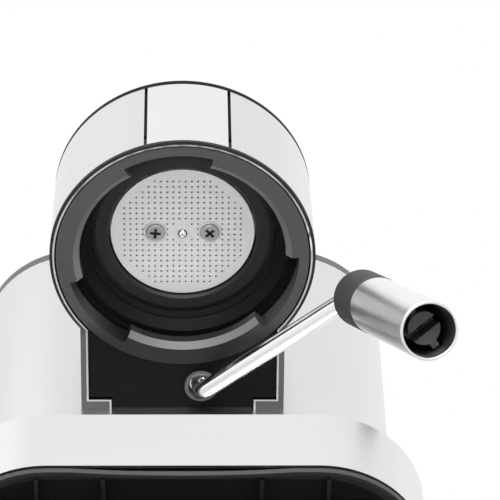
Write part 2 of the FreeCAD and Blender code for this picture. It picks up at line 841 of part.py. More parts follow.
def make_front_fascia():
    """Steel strip down the front of the drum, set between two narrow seams."""
    left = "(fascia_left + fascia_seam / 2)"
    right = "(fascia_right - fascia_seam / 2)"
    body = new_body("front_fascia", y="head_y", z="group_height")

    def strip(sketch):
        inner = "(head_radius - head_wall)"
        spots = [(left, "-sqrt(head_radius^2 - %s^2)" % left), (right, "-sqrt(head_radius^2 - %s^2)" % right),
                 (right, "-sqrt(%s^2 - %s^2)" % (inner, right)), (left, "-sqrt(%s^2 - %s^2)" % (inner, left))]
        centre = FreeCAD.Vector(0, 0, 0)
        draw_outline(sketch, spots, {0: ("head_radius", centre, True), 2: (inner, centre, False)})

    pad(body, [keyhole("head_radius", "neck_half_width", neck_back)], "frame_height",
        "head_height - frame_height", draft="head_draft")
    cut(body, [keyhole("head_radius - head_wall", "neck_half_width - head_wall", neck_back + " + 3")],
        "frame_height", "head_height - frame_height + 0.01", draft="head_draft")
    reach = "(head_radius + 8)"
    cut(body, [corners(("-" + reach, "-" + reach), (left, "-" + reach), (left, "-head_radius * 0.8"),
                       (right, "-head_radius * 0.8"), (right, "-" + reach), (reach, "-" + reach),
                       (reach, neck_back + " + 12"), ("-" + reach, neck_back + " + 12"))],
        "-1", "head_height + 2")
    return body


def make_head_liner():
    """Black plastic drum inside the steel one; it backs the seams."""
    outer = "(head_radius - head_wall - 0.15)"
    neck = "(neck_half_width - head_wall - 0.15)"
    low = "collar_height + 0.2"
    tall = "head_height - collar_height - 0.4"
    start = "0.02 * (collar_height + 0.2)"
    body = new_body("head_liner", y="head_y", z="group_height")
    pad(body, [keyhole(outer + " - " + start, neck + " - " + start, neck_back + " - head_wall - 0.2")], low,
        tall,
        draft="head_draft")
    cut(body, [keyhole("(%s - %s - liner_wall)" % (outer, start), "(%s - %s - liner_wall)" % (neck, start),
                       neck_back + " + 3")], low, tall + " + 0.01", draft="head_draft")
    cut(body, [rectangle("-head_radius - 5", "head_radius + 5", neck_back + " - head_wall - 0.2",
                         neck_back + " + 10")], "-1", "head_height + 2")
    return body


def neck_opening(drum, half_width, reach_cut, back_cut):
    """Head plan whose neck narrows between two corner blocks at the column."""
    def draw(sketch):
        meet = "sqrt((%s)^2 - (%s)^2)" % (drum, half_width)
        narrow = "(%s - (%s))" % (half_width, reach_cut)
        block = "(%s - (%s))" % (neck_back, back_cut)
        spots = [("-(%s)" % half_width, meet), (half_width, meet), (half_width, block), (narrow, block),
                 (narrow, neck_back), ("-" + narrow, neck_back), ("-" + narrow, block),
                 ("-(%s)" % half_width, block)]
        draw_outline(sketch, spots, {0: (drum, FreeCAD.Vector(0, 0, 0), True)})
    return draw


def make_head_frame():
    """Dark flange under the steel drum and neck, with a block in each corner at the column."""
    body = new_body("head_frame", y="head_y", z="group_height")
    pad(body, [keyhole("head_radius", "neck_half_width", neck_back)], "0", "frame_height")
    cut(body, [neck_opening("head_radius - head_wall - 0.15", "neck_half_width - neck_frame_wall",
                            "neck_corner_reach - neck_frame_wall", "neck_corner_depth")],
        "-1", "frame_height + 2")
    return body


def make_head_trim():
    """Bright band on the inner edge of the flange; it follows the drum, the neck and both corners."""
    drum = "(head_radius - head_wall - 0.2)"
    neck = "(neck_half_width - neck_frame_wall - 0.02)"
    reach_cut = "(neck_corner_reach - neck_frame_wall)"
    body = new_body("head_trim", y="head_y", z="group_height")
    pad(body, [neck_opening(drum, neck, reach_cut, "neck_corner_depth + 0.02")], "-trim_proud", "trim_height")
    cut(body, [neck_opening(drum + " - trim_drum_wall", neck + " - trim_neck_wall", reach_cut,
                            "neck_corner_depth + 0.02 + trim_neck_wall")], "-1", "trim_height + 2")
    cut(body, [rectangle("-%s + %s + trim_neck_wall" % (neck, reach_cut),
                         "%s - %s - trim_neck_wall" % (neck, reach_cut),
                         neck_back + " - 6", neck_back + " + 2")], "-1", "trim_height + 2")
    return body


def make_neck_plate():
    """Black plate under the neck, around the wand's grommet."""
    body = new_body("neck_plate", y="head_y", z="group_height")
    neck = "(neck_half_width - neck_frame_wall - trim_neck_wall - 0.35)"
    pad(body, [neck_opening("head_radius - head_wall - trim_drum_wall - 0.55", neck,
                            "neck_corner_reach - neck_frame_wall", "neck_corner_depth + trim_neck_wall + 0.4")],
        "neck_plate_low", "neck_plate_thickness")
    cut(body, [circle("0", "0", "collar_radius + 0.1"), ], "-1", "neck_plate_thickness + 5")
    cut(body, [circle("wand_x", "wand_y - head_y", "grommet_outer + 0.03")], "-1", "neck_plate_thickness + 5")
    cut(body, [rectangle("-head_radius - 5", "head_radius + 5", "-head_radius - 5", "12")],
        "-1", "neck_plate_thickness + 5")
    return body


def button_places():
    """Buttons and lenses from left to right: name and X."""
    return [("power_button", "-button_pitch"), ("brew_button", "0 * button_pitch"),
            ("steam_button", "button_pitch")]


def make_head_cap():
    """Cover on the drum's top, with three holes for the buttons and three for the lenses."""
    shrink = "head_height * tan(head_draft * 1deg)"
    body = new_body("head_cap", y="head_y", z="group_height + head_height")
    plan = keyhole("head_radius - " + shrink, "neck_half_width - " + shrink, neck_back + " - 0.05")
    pad(body, [plan], "0.02", "cap_height - cap_edge - 0.02")
    pad(body, [plan], "cap_height - cap_edge", "cap_edge", draft="cap_slope")
    hole = "button_radius + button_clearance"
    for name, x in button_places():
        cut(body, [circle(x, "-button_forward", hole)], "-1", "cap_height + 3")
        cut(body, [circle(x, "-button_forward", hole + " + bezel_width")], "cap_height - 1.2", "3")
        cut(body, [circle(x, "-lens_forward", "lens_radius + 0.05")], "-1", "cap_height + 3")
    return body


def make_button_bezels():
    """Three bright rings set in the cap, one around each button."""
    body = new_body("button_bezels", y="head_y", z="group_height + head_height + 0.02")
    rings = []
    for name, x in button_places():
        rings.append(circle(x, "-button_forward", "button_radius + button_clearance + bezel_width - 0.03"))
        rings.append(circle(x, "-button_forward", "button_radius + button_clearance"))
    pad(body, rings, "cap_height - 1.2", "1.2 + bezel_proud")
    return body


def make_buttons():
    """Three push buttons: a domed cap on a stem that reaches the switch below."""
    cap_top = "(cap_height + button_proud)"
    for name, x in button_places():
        turned(name, [("0", "-button_stem_length"), ("button_stem_radius", "-button_stem_length"),
                      ("button_stem_radius", "-1"), ("button_radius", "-1"), ("button_radius",
                                                                              cap_top + " - 0.9"),
                      ("button_radius - 0.9", cap_top), ("0", cap_top)],
               x=x, y="head_y - button_forward", z="group_height + head_height")


def make_indicator_lenses():
    """Three clear light pipes behind the buttons."""
    body = new_body("indicator_lenses", y="head_y", z="group_height + head_height")
    pad(body, [circle(x, "-lens_forward", "lens_radius") for name, x in button_places()],
        "-2", "cap_height + 2.25")
    return body


def make_button_board():
    """Small circuit board under the buttons with three switches."""
    low = "(-button_stem_length - button_travel - 0.5 - switch_height - board_thickness)"
    body = new_body("button_board", y="head_y", z="group_height + head_height")
    pad(body, [rectangle("-key_board_half", "key_board_half", "-key_board_front", "-key_board_back")],
        low, "board_thickness")
    pad(body, [rectangle(x + " - switch_half", x + " + switch_half", "-button_forward - switch_half",
                         "-button_forward + switch_half")
               for name, x in button_places()], low + " + board_thickness - 0.1", "switch_height + 0.1")
    return body


# ---------------------------------------------------------------------------------------------
# Brew group
# ---------------------------------------------------------------------------------------------
def make_collar_ring():
    """Bayonet collar: an inner flange with three gaps for the filter holder's lugs, and a track above."""
    body = new_body("collar_ring", y="head_y", z="group_height")
    turn(body, [("collar_bore + flange_chamfer", "0"), ("collar_radius", "0"),
                ("collar_radius", "collar_height"),
                ("track_radius", "collar_height"), ("track_radius", "flange_height"),
                ("collar_bore", "flange_height"), ("collar_bore", "flange_chamfer")])
    for step in range(3):
        middle = "(lug_turn_angle + %d)" % (120 * step)
        cut(body, [sector("collar_bore - 6", "lug_radius", "%s * 1deg - lug_width_angle * 0.5deg" % middle,
                          "%s * 1deg + lug_width_angle * 0.5deg" % middle)], "-1", "flange_height + 1.5")
    return body


def make_recess_liner():
    """Black stepped funnel between the collar and the gasket."""
    return turned("recess_liner", [
        ("track_radius - 1.2", "collar_height"), ("collar_radius - 2", "collar_height"),
        ("collar_radius - 2", "recess_depth"), ("gasket_outer + 0.15", "recess_depth"),
        ("gasket_outer + 0.15", "gasket_low + 0.6"), ("gasket_outer + 2", "gasket_low - 0.6"),
        ("gasket_outer + 2", "gasket_low - 1.6"), ("track_radius - 3.4", "collar_height + 2.2"),
        ("track_radius - 1.2", "collar_height + 2.2")], y="head_y", z="group_height")


def make_group_gasket():
    """Rubber ring that the filter basket's rim presses on."""
    return turned("group_gasket", [
        ("gasket_inner", "gasket_low + 0.9"), ("gasket_inner + 0.8", "gasket_low"),
        ("gasket_outer - 1.6", "gasket_low"), ("gasket_outer", "gasket_low + 0.5"),
        ("gasket_outer", "recess_depth - 0.05"), ("gasket_inner", "recess_depth - 0.05")],
        y="head_y", z="group_height")


def make_group_body():
    """Aluminium boss that spreads the hot water over the screen."""
    body = new_body("group_body", y="head_y", z="group_height")
    spigot = "(screen_radius - screen_thickness - 0.15)"
    face = "(screen_low + screen_thickness + 0.6)"
    top = "recess_depth + group_flange"
    turn(body, [("0", face), (spigot, face), (spigot, "recess_depth + 0.05"),
                ("collar_radius - 2", "recess_depth + 0.05"), ("collar_radius - 2", top),
                ("group_boss_radius", top), ("group_boss_radius", top + " + group_boss_height"),
                ("0", top + " + group_boss_height")])
    cut(body, [circle("screw_spacing / 2", "0", "screw_shaft_radius + 0.05"),
               circle("-screw_spacing / 2", "0",
                      "screw_shaft_radius + 0.05")], face + " - 1", "screw_length + 1")
    cut(body, [circle("0", "0", "1.25")], face + " - 1", "6")
    return body


def screen_holes():
    """Centres of the screen's holes: a square grid with cut corners and two clear patches for screws."""
    reach = int(value("hole_rows_half"))
    pitch = value("hole_pitch")
    corner_count = value("hole_corner_count")
    clear_radius = value("screen_radius") - 2.2
    keep_beside_screws = {-2: (-3, -2, 1, 2), -1: (-3, 2), 0: (-3, 2), 1: (-3, -2, 1, 2)}
    for row in range(-reach, reach):
        for column in range(-reach, reach):
            distance = math.hypot(row + 0.5, column + 0.5) * pitch
            if abs(row + 0.5) + abs(column + 0.5) > corner_count or distance > clear_radius:
                continue
            near_screws = row in keep_beside_screws and -7 < column < 6
            if near_screws and column not in keep_beside_screws[row]:
                continue
            yield (column + 0.5) * pitch, (row + 0.5) * pitch


def make_shower_screen():
    """Perforated steel disc with a turned-up rim; the holes are cut in code as one face."""
    low = value("screen_low")
    thickness = value("screen_thickness")
    outer = value("screen_radius")
    wires = [Part.Wire([Part.makeCircle(outer)])]
    for x, y in screen_holes():
        wires.append(Part.Wire([Part.makeCircle(value("hole_radius"), FreeCAD.Vector(x, y, 0))]))
    for side in (-1, 1):
        centre = FreeCAD.Vector(side * value("screw_spacing") / 2, 0, 0)
        wires.append(Part.Wire([Part.makeCircle(value("screw_shaft_radius") + 0.1, centre)]))
    wires.append(Part.Wire([Part.makeCircle(1.3)]))
    disc = Part.Face(wires, "Part::FaceMakerBullseye").extrude(FreeCAD.Vector(0, 0, thickness))
    wall = value("screen_rim_height")
    rim = Part.makeCylinder(outer, wall).cut(Part.makeCylinder(outer - thickness, wall))
    screen = disc.fuse(rim).removeSplitter()
    return feature_from_shape("shower_screen", screen,
                              FreeCAD.Placement(vector("0", "head_y", "group_height + %s" % low),
                                                FreeCAD.Rotation()))


def make_screen_screws():
    """Two cross-head screws that hold the screen."""
    screws = []
    for side, cross in ((-1, 5), (1, 48)):
        screw = cross_screw(value("screw_head_radius"), value("screw_head_height"),
                            value("screw_shaft_radius"),
                            value("screw_length"), cross)
        screw.translate(FreeCAD.Vector(side * value("screw_spacing") / 2, 0, 0))
        screws.append(screw)
    return feature_from_shape("screen_screws", Part.makeCompound(screws),
                              FreeCAD.Placement(vector("0", "head_y", "group_height + screen_low - 0.01"),
                                                FreeCAD.Rotation()))


def make_screen_pin():
    """Ball-headed pin in the middle of the screen."""
    ball = Part.makeSphere(value("pin_radius"), FreeCAD.Vector(0, 0, -0.6))
    keep = Part.makeCylinder(value("pin_radius") + 1, 4, FreeCAD.Vector(0, 0, -4.01))
    stem = Part.makeCylinder(1.2, 5, FreeCAD.Vector(0, 0, -0.1))
    return feature_from_shape("screen_pin", ball.common(keep).fuse(stem),
                              FreeCAD.Placement(vector("0", "head_y", "group_height + screen_low"),
                                                FreeCAD.Rotation()))


# ---------------------------------------------------------------------------------------------
# Steam wand
# ---------------------------------------------------------------------------------------------
def spread(plan_angle, down_angle):
    """Unit vector from a plan angle and an angle below the horizon, both in degrees."""
    plan = math.radians(plan_angle)
    down = math.radians(down_angle)
    return FreeCAD.Vector(math.cos(down) * math.cos(plan), math.cos(down) * math.sin(plan), -math.sin(down))


wand_corner = vector("wand_x", "wand_y", "group_height - wand_drop")
wand_along = spread(value("wand_plan_angle"), value("wand_fall_angle"))
frother_along = spread(value("frother_plan_angle"), 90 - value("frother_lean_angle"))
frother_root = wand_corner + wand_along * value("wand_run")
frother_turn = FreeCAD.Rotation(UP, frother_along)


def frother_place(distance):
    """Placement whose Z runs along the frother, a distance below the tube's second bend."""
    return FreeCAD.Placement(frother_root + frother_along * distance, frother_turn)


def make_wand_tube():
    """Bright bent tube: a stub up into the socket, a long run, and a turn down into the frother."""
    top = vector("wand_x", "wand_y", "group_height + wand_stub")
    tail = value("frother_grip_start + frother_grip_length + frother_spigot_length + 4")
    points = [top, wand_corner, frother_root, frother_root + frother_along * tail]
    bends = [value("wand_bend"), value("frother_bend")]
    tube = bent_rod(points, bends, value("wand_radius")).cut(bent_rod(points, bends, value("wand_bore")))
    return feature_from_shape("wand_tube", tube)


def make_wand_socket():
    """Chrome socket that the wand's stub turns in, with a flange above the neck plate."""
    inner = "wand_radius + wand_clearance"
    flange = "neck_plate_low + neck_plate_thickness + 0.3"
    return turned("wand_socket", [
        (inner + " + 0.25", "socket_low"), (inner + " + socket_wall - 0.15", "socket_low"),
        (inner + " + socket_wall", "socket_low + 0.3"), (inner + " + socket_wall", flange),
        ("7", flange), ("7", flange + " + 2"), (inner + " + 2", flange + " + 2"), (inner + " + 2",
                                                                                   "socket_height"),
        (inner, "socket_height"), (inner, "socket_low + 0.3")],
        x="wand_x", y="wand_y", z="group_height")


def make_wand_grommet():
    """Dark ring around the wand where it leaves the neck plate."""
    return turned("wand_grommet", [
        ("grommet_inner", "-grommet_proud + 0.3"), ("grommet_inner + 0.3", "-grommet_proud"),
        ("grommet_outer - 0.3", "-grommet_proud"), ("grommet_outer", "-grommet_proud + 0.3"),
        ("grommet_outer", "neck_plate_low + neck_plate_thickness"),
        ("grommet_inner", "neck_plate_low + neck_plate_thickness")],
        x="wand_x", y="wand_y", z="group_height")


def make_frother():
    """Rubber grip fixed on the tube, a core with two arms inside, and a steel sleeve that pulls off."""
    grip = new_body("frother_grip")
    bore = "wand_radius + 0.02"
    length = "frother_grip_length"
    turn(grip, [(bore, "0"), ("frother_grip_radius - 1.6", "0"), ("frother_grip_radius", "1.6"),
                ("frother_grip_radius", length + " - 0.5"), ("frother_grip_radius - 0.5", length),
                ("frother_spigot_radius", length), ("frother_spigot_radius",
                                                    length + " + frother_spigot_length"),
                (bore, length + " + frother_spigot_length")])
    grip.Placement = frother_place(value("frother_grip_start"))

    sleeve = new_body("frother_sleeve")
    turn(sleeve, [("sleeve_bore", "0.5"), ("sleeve_bore + 0.4", "0"), ("sleeve_outer - 0.3", "0"),
                  ("sleeve_outer", "0.3"), ("sleeve_outer", "sleeve_length - 0.3"),
                  ("sleeve_outer - 0.3", "sleeve_length"), ("sleeve_bore + 0.2", "sleeve_length"),
                  ("sleeve_bore", "sleeve_length - 0.2")])
    sleeve.Placement = frother_place(value("frother_grip_start + frother_grip_length + sleeve_gap"))

    core = new_body("frother_core")
    core_length = "(sleeve_gap + sleeve_length - core_recess - frother_spigot_length - 0.3)"
    arm = "core_arm_width / 2"
    pad(core, [circle("0", "0", "core_radius")], "0", core_length)
    pad(core, [rectangle("-core_arm_reach", "core_arm_reach", "-" + arm, arm)], "0", core_length + " - 2")
    cut(core, [rectangle("-core_slot_width / 2", "core_slot_width / 2", "-core_radius - 1",
                         "core_radius + 1")],
        core_length + " - core_slot_depth", "core_slot_depth + 1")
    cut(core, [circle("0", "0", bore)], "-1", "5.5")
    cut(core, [circle("0", "0", "1.2")], "4", core_length)
    core_start = "frother_grip_start + frother_grip_length + frother_spigot_length + 0.2"
    core.Placement = frother_place(value(core_start))


# ---------------------------------------------------------------------------------------------
# Steam valve
# ---------------------------------------------------------------------------------------------
def make_steam_valve():
    """Brass valve body with its spindle bore facing the left wall."""
    body = new_body("steam_valve", x="-%s + valve_inset" % half, y="knob_y", z="knob_z")
    pad(body, [circle("0", "0", "valve_radius")], "0", "valve_length", plane="YZ_Plane")
    pad(body, [circle("valve_length / 2", "0", "4.5")], "-valve_radius - 5", "valve_radius + 4")
    cut(body, [circle("0", "0", "spindle_radius + spindle_clearance")], "-1", "valve_length - 5",
        plane="YZ_Plane")
    cut(body, [circle("valve_length / 2", "0", "tube_radius + 0.05")], "-valve_radius - 6", "5")
    return body


def make_steam_spindle():
    """Steel spindle from the knob into the valve."""
    body = new_body("steam_spindle", x="-%s" % half, y="knob_y", z="knob_z")
    pad(body, [circle("0", "0", "spindle_radius")], "-knob_gap - knob_depth + 4",
        "knob_gap + knob_depth - 4 + valve_inset + valve_length - 7.5", plane="YZ_Plane")
    return body


def make_steam_knob():
    """Round knob with a raised grip bar on its face."""
    body = new_body("steam_knob", x="-%s - knob_gap" % half, y="knob_y", z="knob_z")
    pad(body, [circle("0", "0", "knob_radius")], "-knob_depth + 3.5", "knob_depth - 3.5", plane="YZ_Plane")
    pad(body, [rectangle("-knob_radius * 0.22", "knob_radius * 0.22", "-knob_radius + 1.2",
                         "knob_radius - 1.2",
                         "knob_radius * 0.2")],
        "-knob_depth", "4", plane="YZ_Plane")
    cut(body, [circle("0", "0", "spindle_radius + 0.02")], "-knob_depth + 3.7", "knob_depth",
        plane="YZ_Plane")
    return body


# ---------------------------------------------------------------------------------------------
# Drip tray
# ---------------------------------------------------------------------------------------------
def make_tray_skirt():
    """Steel wrap around the tray's front and sides."""
    body = new_body("tray_skirt")
    pad(body, [body_outline("0", "base_front", tray_back, "base_corner")], shell_low, "tray_height")
    side = half + " - skirt_wall"
    cut(body, [corners(("-(%s)" % side, "base_front + skirt_wall", "base_corner - skirt_wall"),
                       (side, "base_front + skirt_wall", "base_corner - skirt_wall"),
                       (side, tray_back + " + 2"), ("-(%s)" % side, tray_back + " + 2"))],
        shell_low + " - 1", "tray_height + 2")
    return body


def make_drip_tray():
    """Black tub behind the skirt that catches the drips."""
    body = new_body("drip_tray")
    low = roof_top + " + tray_gap"
    inset = "skirt_wall + 0.1"
    back = tray_back + " - 0.1"
    high = tray_top + " - grid_thickness - 0.4"
    pad(body, [body_outline(inset, "base_front", back, "base_corner")], low, high + " - (%s)" % low)
    inner = "skirt_wall + 0.1 + tray_wall"
    side = "%s - (%s)" % (half, inner)
    near = "base_front + " + inner
    bend = "base_corner - (%s)" % inner
    cut(body, [corners(("-(%s)" % side, near, bend), (side, near, bend),
                       (side, back + " - tray_wall", "5"), ("-(%s)" % side, back + " - tray_wall", "5"))],
        low + " + tray_wall", "tray_height")
    return body


def make_drip_grid():
    """Steel grid that the cup stands on; it lies on the tub's edge."""
    body = new_body("drip_grid", z=tray_top + " - grid_thickness - 0.3")
    inset = "skirt_wall + 0.35"
    pad(body, [body_outline(inset, "base_front", tray_back + " - 0.3", "base_corner")], "0", "grid_thickness")
    reach = 9
    for step in range(-reach, reach + 1):
        middle = "%d * grid_slot_pitch" % step
        front = "base_front + grid_margin"
        if abs(step) > 5:
            front = "base_front + base_corner - sqrt((base_corner - grid_margin)^2 - " \
                    "(%d * grid_slot_pitch + 1.5 - %s + base_corner)^2) + 1" % (abs(step), half)
        if abs(step) == 7 or abs(step) == 8:
            back = "float_y - float_body_radius - 3"
        else:
            back = tray_back + " - grid_margin"
        cut(body, [rectangle(middle + " - grid_slot_width / 2", middle + " + grid_slot_width / 2",
                             front, back, "grid_slot_width / 2 - 0.01")], "-1", "grid_thickness + 2")
    cut(body, [circle("float_x", "float_y", "float_stem_radius + 0.6")], "-1", "grid_thickness + 2")
    return body


def make_tray_float():
    """Float that rises through the grid when the tray is full."""
    low = roof_top + " + tray_gap + tray_wall + 0.2"
    stem_top = "(%s + 0.6 - (%s))" % (tray_top, low)
    return turned("tray_float", [
        ("0", "0"), ("float_body_radius", "0"), ("float_body_radius", "float_body_height"),
        ("float_stem_radius", "float_body_height"), ("float_stem_radius", stem_top + " - 0.5"),
        ("float_stem_radius - 0.5", stem_top), ("0", stem_top)],
        x="float_x", y="float_y", z=low)


# ---------------------------------------------------------------------------------------------
# Water tank
# ---------------------------------------------------------------------------------------------
def tank_plan(inset, corner):
    """Plan of the tank, set in from its outer walls."""
    side = "%s - (%s)" % (tank_half, inset)
    near = "%s + (%s)" % (tank_front, inset)
    far = "%s - (%s)" % (tank_back, inset)
    return corners(("-(%s)" % side, near, "4"), (side, near, "4"), (side, far, corner),
                   ("-(%s)" % side, far, corner))


def make_tank_dock():
    """Hollow shelf behind the column that the tank stands on."""
    body = new_body("tank_dock")
    side = half
    plan = corners(("-" + side, "column_back + 0.3"), (side, "column_back + 0.3"),
                   (side, "base_back", "rear_corner"), ("-" + side, "base_back", "rear_corner"))
    pad(body, [plan], roof_top, "dock_height")
    wall = "dock_wall"
    hollow = corners(("-(%s - %s)" % (side, wall), "column_back + 0.3 + " + wall),
                     ("%s - %s" % (side, wall), "column_back + 0.3 + " + wall),
                     ("%s - %s" % (side, wall), "base_back - " + wall, "rear_corner - " + wall),
                     ("-(%s - %s)" % (side, wall), "base_back - " + wall, "rear_corner - " + wall))
    cut(body, [hollow], roof_top + " - 1", "dock_height + 1 - dock_wall")
    inlet_y = "(%s + %s) / 2" % (tank_front, tank_back)
    cut(body, [circle("0", inlet_y, "inlet_radius + 0.05")], roof_top, "dock_height + 2")
    cut(body, [circle("gland_x", "gland_z", "gland_radius - 1.95")], "base_back - dock_wall - 1",
        "dock_wall + 2",
        plane="XZ_Plane")
    cut(body, [rectangle("-9", "9", roof_top + " + 1", roof_top + " + 17")], "column_back - 1",
        "dock_wall + 2",
        plane="XZ_Plane")
    return body


def make_tank_inlet():
    """Rubber-tipped nipple in the dock that opens the tank's valve."""
    inlet_y = "(%s + %s) / 2" % (tank_front, tank_back)
    return turned("tank_inlet", [
        ("hose_radius - 1.2", "-dock_wall - 2.5"), ("hose_radius", "-dock_wall - 2.5"),
        ("hose_radius", "-dock_wall - 1.5"), ("inlet_radius + 2", "-dock_wall - 1.5"),
        ("inlet_radius + 2", "-dock_wall"), ("inlet_radius", "-dock_wall"), ("inlet_radius", "0"),
        ("inlet_radius - 2", "inlet_height - 1.6"), ("hose_radius - 1.2", "inlet_height - 1.6")],
        y=inlet_y, z=dock_top)


def make_water_tank():
    """Clear plastic tank with a recess below for the inlet."""
    body = new_body("water_tank")
    pad(body, [tank_plan("0", "tank_corner")], tank_low, "%s - %s" % (tank_top, tank_low))
    cut(body, [tank_plan("tank_wall", "tank_corner - tank_wall")], "%s + tank_wall" % tank_low,
        "column_height")
    inlet_y = "(%s + %s) / 2" % (tank_front, tank_back)
    pad(body, [circle("0", inlet_y, "valve_cup_radius")], "%s + tank_wall - 0.2" % tank_low,
        "valve_cup_height")
    cut(body, [circle("0", inlet_y, "valve_cup_radius - 2")], "%s - 1" % tank_low,
        "valve_cup_height + tank_wall + 2")
    return body


def make_tank_valve():
    """Spring valve in the tank's floor."""
    inlet_y = "(%s + %s) / 2" % (tank_front, tank_back)
    start = "(inlet_height + 0.5)"
    return turned("tank_valve", [
        ("0", start), ("valve_cup_radius - 2.03", start),
        ("valve_cup_radius - 2.03", "valve_cup_height + tank_wall"),
        ("valve_cup_radius - 0.5", "valve_cup_height + tank_wall"),
        ("valve_cup_radius - 0.5", "valve_cup_height + tank_wall + 2"), ("2.5",
                                                                         "valve_cup_height + tank_wall + 2"),
        ("2.5", "valve_cup_height + tank_wall + 7"), ("0", "valve_cup_height + tank_wall + 7")],
        y=inlet_y, z=tank_low)


def make_tank_lid():
    """Lid hinged on the tank's front edge."""
    body = new_body("tank_lid")
    front = "(%s + 0.2)" % tank_front
    side = tank_half
    pad(body, [corners(("-" + side, front, "3"), (side, front, "3"), (side, tank_back, "tank_corner"),
                       ("-" + side, tank_back, "tank_corner"))],
        "%s - lid_thickness" % machine_top, "lid_thickness")
    soften(body, "1.0", at_level(value(machine_top)))
    return body


def make_cord_gland():
    """Gland in the dock's back wall where the supply cord leaves."""
    body = new_body("cord_gland")
    wall_in = "(base_back - dock_wall)"
    pad(body, [circle("gland_x", "gland_z", "gland_radius")], "base_back + 0.02", "gland_proud",
        plane="XZ_Plane")
    pad(body, [circle("gland_x", "gland_z", "gland_radius - 2")], wall_in + " - 3", "dock_wall + 3.1",
        plane="XZ_Plane")
    cut(body, [circle("gland_x", "gland_z", "gland_bore")], wall_in + " - 5", "dock_wall + 12",
        plane="XZ_Plane")
    return body


# ---------------------------------------------------------------------------------------------
# Inside the column
# ---------------------------------------------------------------------------------------------
boiler_front = "(chassis_y - boiler_depth)"
boiler_top = "(boiler_low + boiler_body)"


def make_boiler():
    """Cast heating block in two halves with four screws, and a thermostat on top."""
    block = new_body("boiler_block")
    outline = rectangle("-boiler_half", "boiler_half", boiler_front, "chassis_y - 0.4", "5")
    pad(block, [outline], "boiler_low", "boiler_body - 0.1")
    bolt_places = [(side + "(boiler_half - bolt_inset)", y) for side in ("", "-")
                   for y in (boiler_front + " + bolt_inset", "chassis_y - bolt_inset - 0.4")]
    cut(block, [circle(x, y, "1.7") for x, y in bolt_places], boiler_top + " - 12", "14")
    cut(block, [circle("0", "group_height + recess_depth + group_flange + group_boss_height / 2",
                       "tube_radius + 0.05")], boiler_front + " - 1", "9", plane="XZ_Plane")
    cover = new_body("boiler_cover")
    pad(cover, [rectangle("-boiler_half", "boiler_half", boiler_front, "chassis_y - 0.4", "5")],
        boiler_top, "boiler_cover")
    cut(cover, [rectangle("-boiler_half + 12", "boiler_half - 12", boiler_front + " + 4 + %d * 6" % step,
                          boiler_front + " + 7 + %d * 6" % step) for step in range(6) if step not in (2, 3)],
        boiler_top + " + boiler_cover - 5", "7")
    cut(cover, [circle(x, y, "1.8") for x, y in bolt_places], boiler_top + " - 1", "boiler_cover + 2")
    screws = []
    for x, y in bolt_places:
        screw = cross_screw(3.0, 1.8, 1.6, value("boiler_cover") + 8, 10)
        screw.rotate(FreeCAD.Vector(0, 0, 0), FreeCAD.Vector(1, 0, 0), 180)
        screw.translate(vector(x, y, boiler_top + " + boiler_cover + 0.01"))
        screws.append(screw)
    feature_from_shape("boiler_screws", Part.makeCompound(screws))
    rim = "thermostat_radius - 1.5"
    turned("thermostat", [("0", "0"), ("thermostat_radius", "0"), ("thermostat_radius", "3"), (rim, "3"),
                          (rim, "thermostat_height"), ("0", "thermostat_height")],
           y=boiler_front + " + boiler_depth / 2 - 0.6", z=boiler_top + " + boiler_cover + 0.02")


def make_pump():
    """Vibration pump: a plastic body, a square coil around it and rubber mounts at both ends."""
    turned("pump_body", [
        ("0", "-6"), ("3.5", "-6"), ("3.5", "0"), ("pump_radius", "0"), ("pump_radius", "pump_length"),
        ("3.5", "pump_length"), ("3.5", "pump_length + 6"), ("0", "pump_length + 6")],
        x="pump_x", y="pump_y", z="pump_low")
    coil = new_body("pump_coil", x="pump_x", y="pump_y", z="pump_low + (pump_length - coil_length) / 2")
    pad(coil, [rectangle("-coil_size / 2", "coil_size / 2", "-coil_size / 2", "coil_size / 2", "3"),
               circle("0", "0", "pump_radius + 0.1")], "0", "coil_length")
    mounts = new_body("pump_mounts", x="pump_x", y="pump_y", z="pump_low")
    for level in ("mount_height", "pump_length - 2 * mount_height"):
        pad(mounts, [rectangle("-mount_half", "mount_half", "-mount_half", "chassis_y - pump_y - 0.3", "3"),
                     circle("0", "0", "pump_radius + 0.1")], level, "mount_height")


def make_solenoid_valve():
    """Brass valve with a coil, on the boiler's underside."""
    body = new_body("solenoid_valve", x="22", y="0", z="boiler_low - 3.6")
    pad(body, [rectangle("-9", "9", "-9", "9")], "-15", "15")
    pad(body, [rectangle("-13", "13", "-12", "12", "2")], "-42", "27.5")
    return body


def make_flow_meter():
    """Flat turbine meter in the feed line."""
    crown = "meter_radius - 3"
    body = turned("flow_meter", [("0", "0"), ("meter_radius", "0"), ("meter_radius", "meter_height"),
                                 (crown, "meter_height"), (crown, "meter_height + 3"), ("0",
                                                                                        "meter_height + 3")],
                  x="meter_x", y="meter_y", z="meter_z")
    pad(body, [circle("0", "0", "nozzle_radius")], "-8", "9")
    pad(body, [circle("0", "meter_height / 2", "nozzle_radius")], "-meter_radius - 8", "9", plane="YZ_Plane")
    return body


